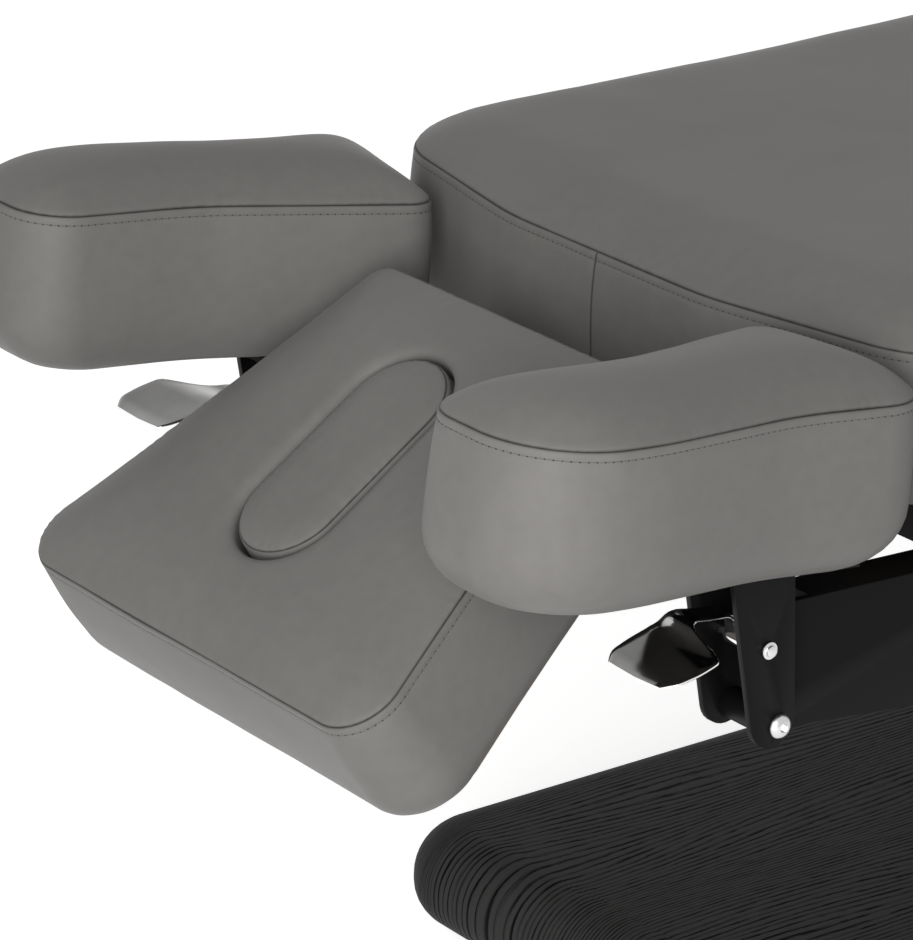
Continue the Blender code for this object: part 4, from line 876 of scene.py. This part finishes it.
for side_name, side in (("left", 1.0), ("right", -1.0)):
    run = np.concatenate([[0.0], np.cumsum(np.linalg.norm(np.diff(stations[:, :2], axis=0), axis=1))])
    steps = np.linspace(0.0, run[-1], LEVER_STEPS)
    strip = np.column_stack([np.interp(steps, run, stations[:, k]) for k in range(4)])
    for _ in range(2):
        strip[1:-1] = (strip[:-2] + 2 * strip[1:-1] + strip[2:]) / 4
    shape = bmesh.new()
    rings = []
    for i, (dx, dz, y0, y1) in enumerate(strip):
        ahead, behind = strip[min(i + 1, LEVER_STEPS - 1)], strip[max(i - 1, 0)]
        slope = Vector((ahead[0] - behind[0], ahead[1] - behind[1])).normalized()
        up = Vector((-slope.y, slope.x)) if slope.x > 0 else Vector((slope.y, -slope.x))
        ring = []
        for k in range(LEVER_ROUND):
            turn = 2 * math.pi * k / LEVER_ROUND
            wide = math.copysign(abs(math.cos(turn)) ** 0.30, math.cos(turn))
            thick = math.copysign(abs(math.sin(turn)) ** 0.60, math.sin(turn))
            y = (y0 + y1) / 2 + wide * (y1 - y0) / 2
            spread = min(1.0, max(0.0, (-0.072 - dx) / 0.008))
            dish = LEVER_DISH * (2 * (y - y0) / (y1 - y0) - 1) ** 2 * spread
            rise = thick * LEVER_HALF + dish
            ring.append(shape.verts.new((BOLT_X + dx + up.x * rise, side * y, BOLT_Z + dz + up.y * rise)))
        rings.append(ring)
    for low, high in zip(rings, rings[1:]):
        for k in range(LEVER_ROUND):
            after = (k + 1) % LEVER_ROUND
            shape.faces.new((low[k], low[after], high[after], high[k]))
    shape.faces.new(rings[0])
    shape.faces.new(rings[-1])
    hub = []
    turns = [2 * math.pi * k / HUB_ROUND for k in range(HUB_ROUND)]
    for radius, y in ((HUB_BORE, HUB_NEAR), (HUB_RADIUS, HUB_NEAR),
                      (HUB_RADIUS, HUB_FAR), (HUB_BORE, HUB_FAR)):
        hub.append([shape.verts.new((PIN_X + radius * math.cos(a), side * y, PIN_Z + radius * math.sin(a)))
                    for a in turns])
    for low, high in zip(hub, hub[1:] + hub[:1]):
        for k in range(HUB_ROUND):
            after = (k + 1) % HUB_ROUND
            shape.faces.new((low[k], low[after], high[after], high[k]))
    stem = [[shape.verts.new((BOLT_X + dx, side * y, BOLT_Z + dz))
             for dx, dz in ((-0.0165, 0.0610), (-0.0060, 0.0630), (-0.0130, 0.0715), (-0.0190, 0.0710))]
            for y in (0.2580, 0.2740)]
    for k in range(4):
        shape.faces.new((stem[0][k], stem[0][(k + 1) % 4], stem[1][(k + 1) % 4], stem[1][k]))
    shape.faces.new(stem[0])
    shape.faces.new(stem[1])
    bmesh.ops.recalc_face_normals(shape, faces=shape.faces)
    mesh = bpy.data.meshes.new("release_lever_plate_" + side_name)
    shape.to_mesh(mesh)
    shape.free()
    mesh.shade_smooth()
    mesh.set_sharp_from_angle(angle=math.radians(50.0))
    mesh.materials.append(chrome)
    plate = bpy.data.objects.new("release_lever_plate_" + side_name, mesh)
    scene.collection.objects.link(plate)
    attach(plate, "lever_" + side_name)
    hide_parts("release_lever_" + side_name)

# Pivot bolts and lever pins: a button-head socket screw through each clevis, and a turned pin
# with a snap ring that carries the lever.
CHEEK_FACE = 0.2963
BOLT_SHANK = 0.005
PIN_SHANK = 0.004
SOCKET_DEPTH = 0.0026
HEAD_ROUND = 48
turns = [2 * math.pi * k / HEAD_ROUND for k in range(HEAD_ROUND)]
for side_name, side in (("left", 1.0), ("right", -1.0)):
    for label, body, node_name, x, z, profile, socket_size in (
            ("pivot_bolt_head_", "backrest", "armrest_pivot_bolt_", BOLT_X, BOLT_Z,
             ((0.0086, 0.0), (0.00875, 0.0006), (0.0086, 0.0016), (0.0078, 0.0030), (0.0064, 0.0042),
              (0.0048, 0.0050), (0.0037, 0.0053)), 0.0030),
            ("lever_pin_head_", "armrest_" + side_name, "lever_pin_", PIN_X, PIN_Z,
             ((0.0060, 0.0), (0.0062, 0.0004), (0.0060, 0.0012), (0.0044, 0.0014), (0.0040, 0.0018),
              (0.0040, 0.0036), (0.0034, 0.0040)), 0.0)):
        cad_low, cad_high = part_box(node_name + side_name)
        face_y = side * CHEEK_FACE
        far_y = cad_low[1] if side > 0 else cad_high[1]
        shape = bmesh.new()
        rings = []
        shank = BOLT_SHANK if socket_size else PIN_SHANK
        outlines = [(shank, far_y), (shank, face_y)] + [(r, face_y + side * h) for r, h in profile]
        for radius, y in outlines:
            rings.append([shape.verts.new((x + radius * math.cos(a), y, z + radius * math.sin(a)))
                          for a in turns])
        if socket_size:
            top_y = outlines[-1][1]
            for y in (top_y, top_y - side * SOCKET_DEPTH):
                ring = []
                for a in turns:
                    radius = socket_size / math.cos((a % (math.pi / 3)) - math.pi / 6)
                    ring.append(shape.verts.new((x + radius * math.cos(a), y, z + radius * math.sin(a))))
                rings.append(ring)
        for low, high in zip(rings, rings[1:]):
            for k in range(HEAD_ROUND):
                after = (k + 1) % HEAD_ROUND
                shape.faces.new((low[k], low[after], high[after], high[k]))
        shape.faces.new(rings[0])
        shape.faces.new(rings[-1])
        bmesh.ops.recalc_face_normals(shape, faces=shape.faces)
        mesh = bpy.data.meshes.new(label + side_name)
        shape.to_mesh(mesh)
        shape.free()
        mesh.shade_smooth()
        mesh.set_sharp_from_angle(angle=math.radians(40.0))
        mesh.materials.append(zinc)
        head = bpy.data.objects.new(label + side_name, mesh)
        scene.collection.objects.link(head)
        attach(head, body)
        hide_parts(node_name + side_name)
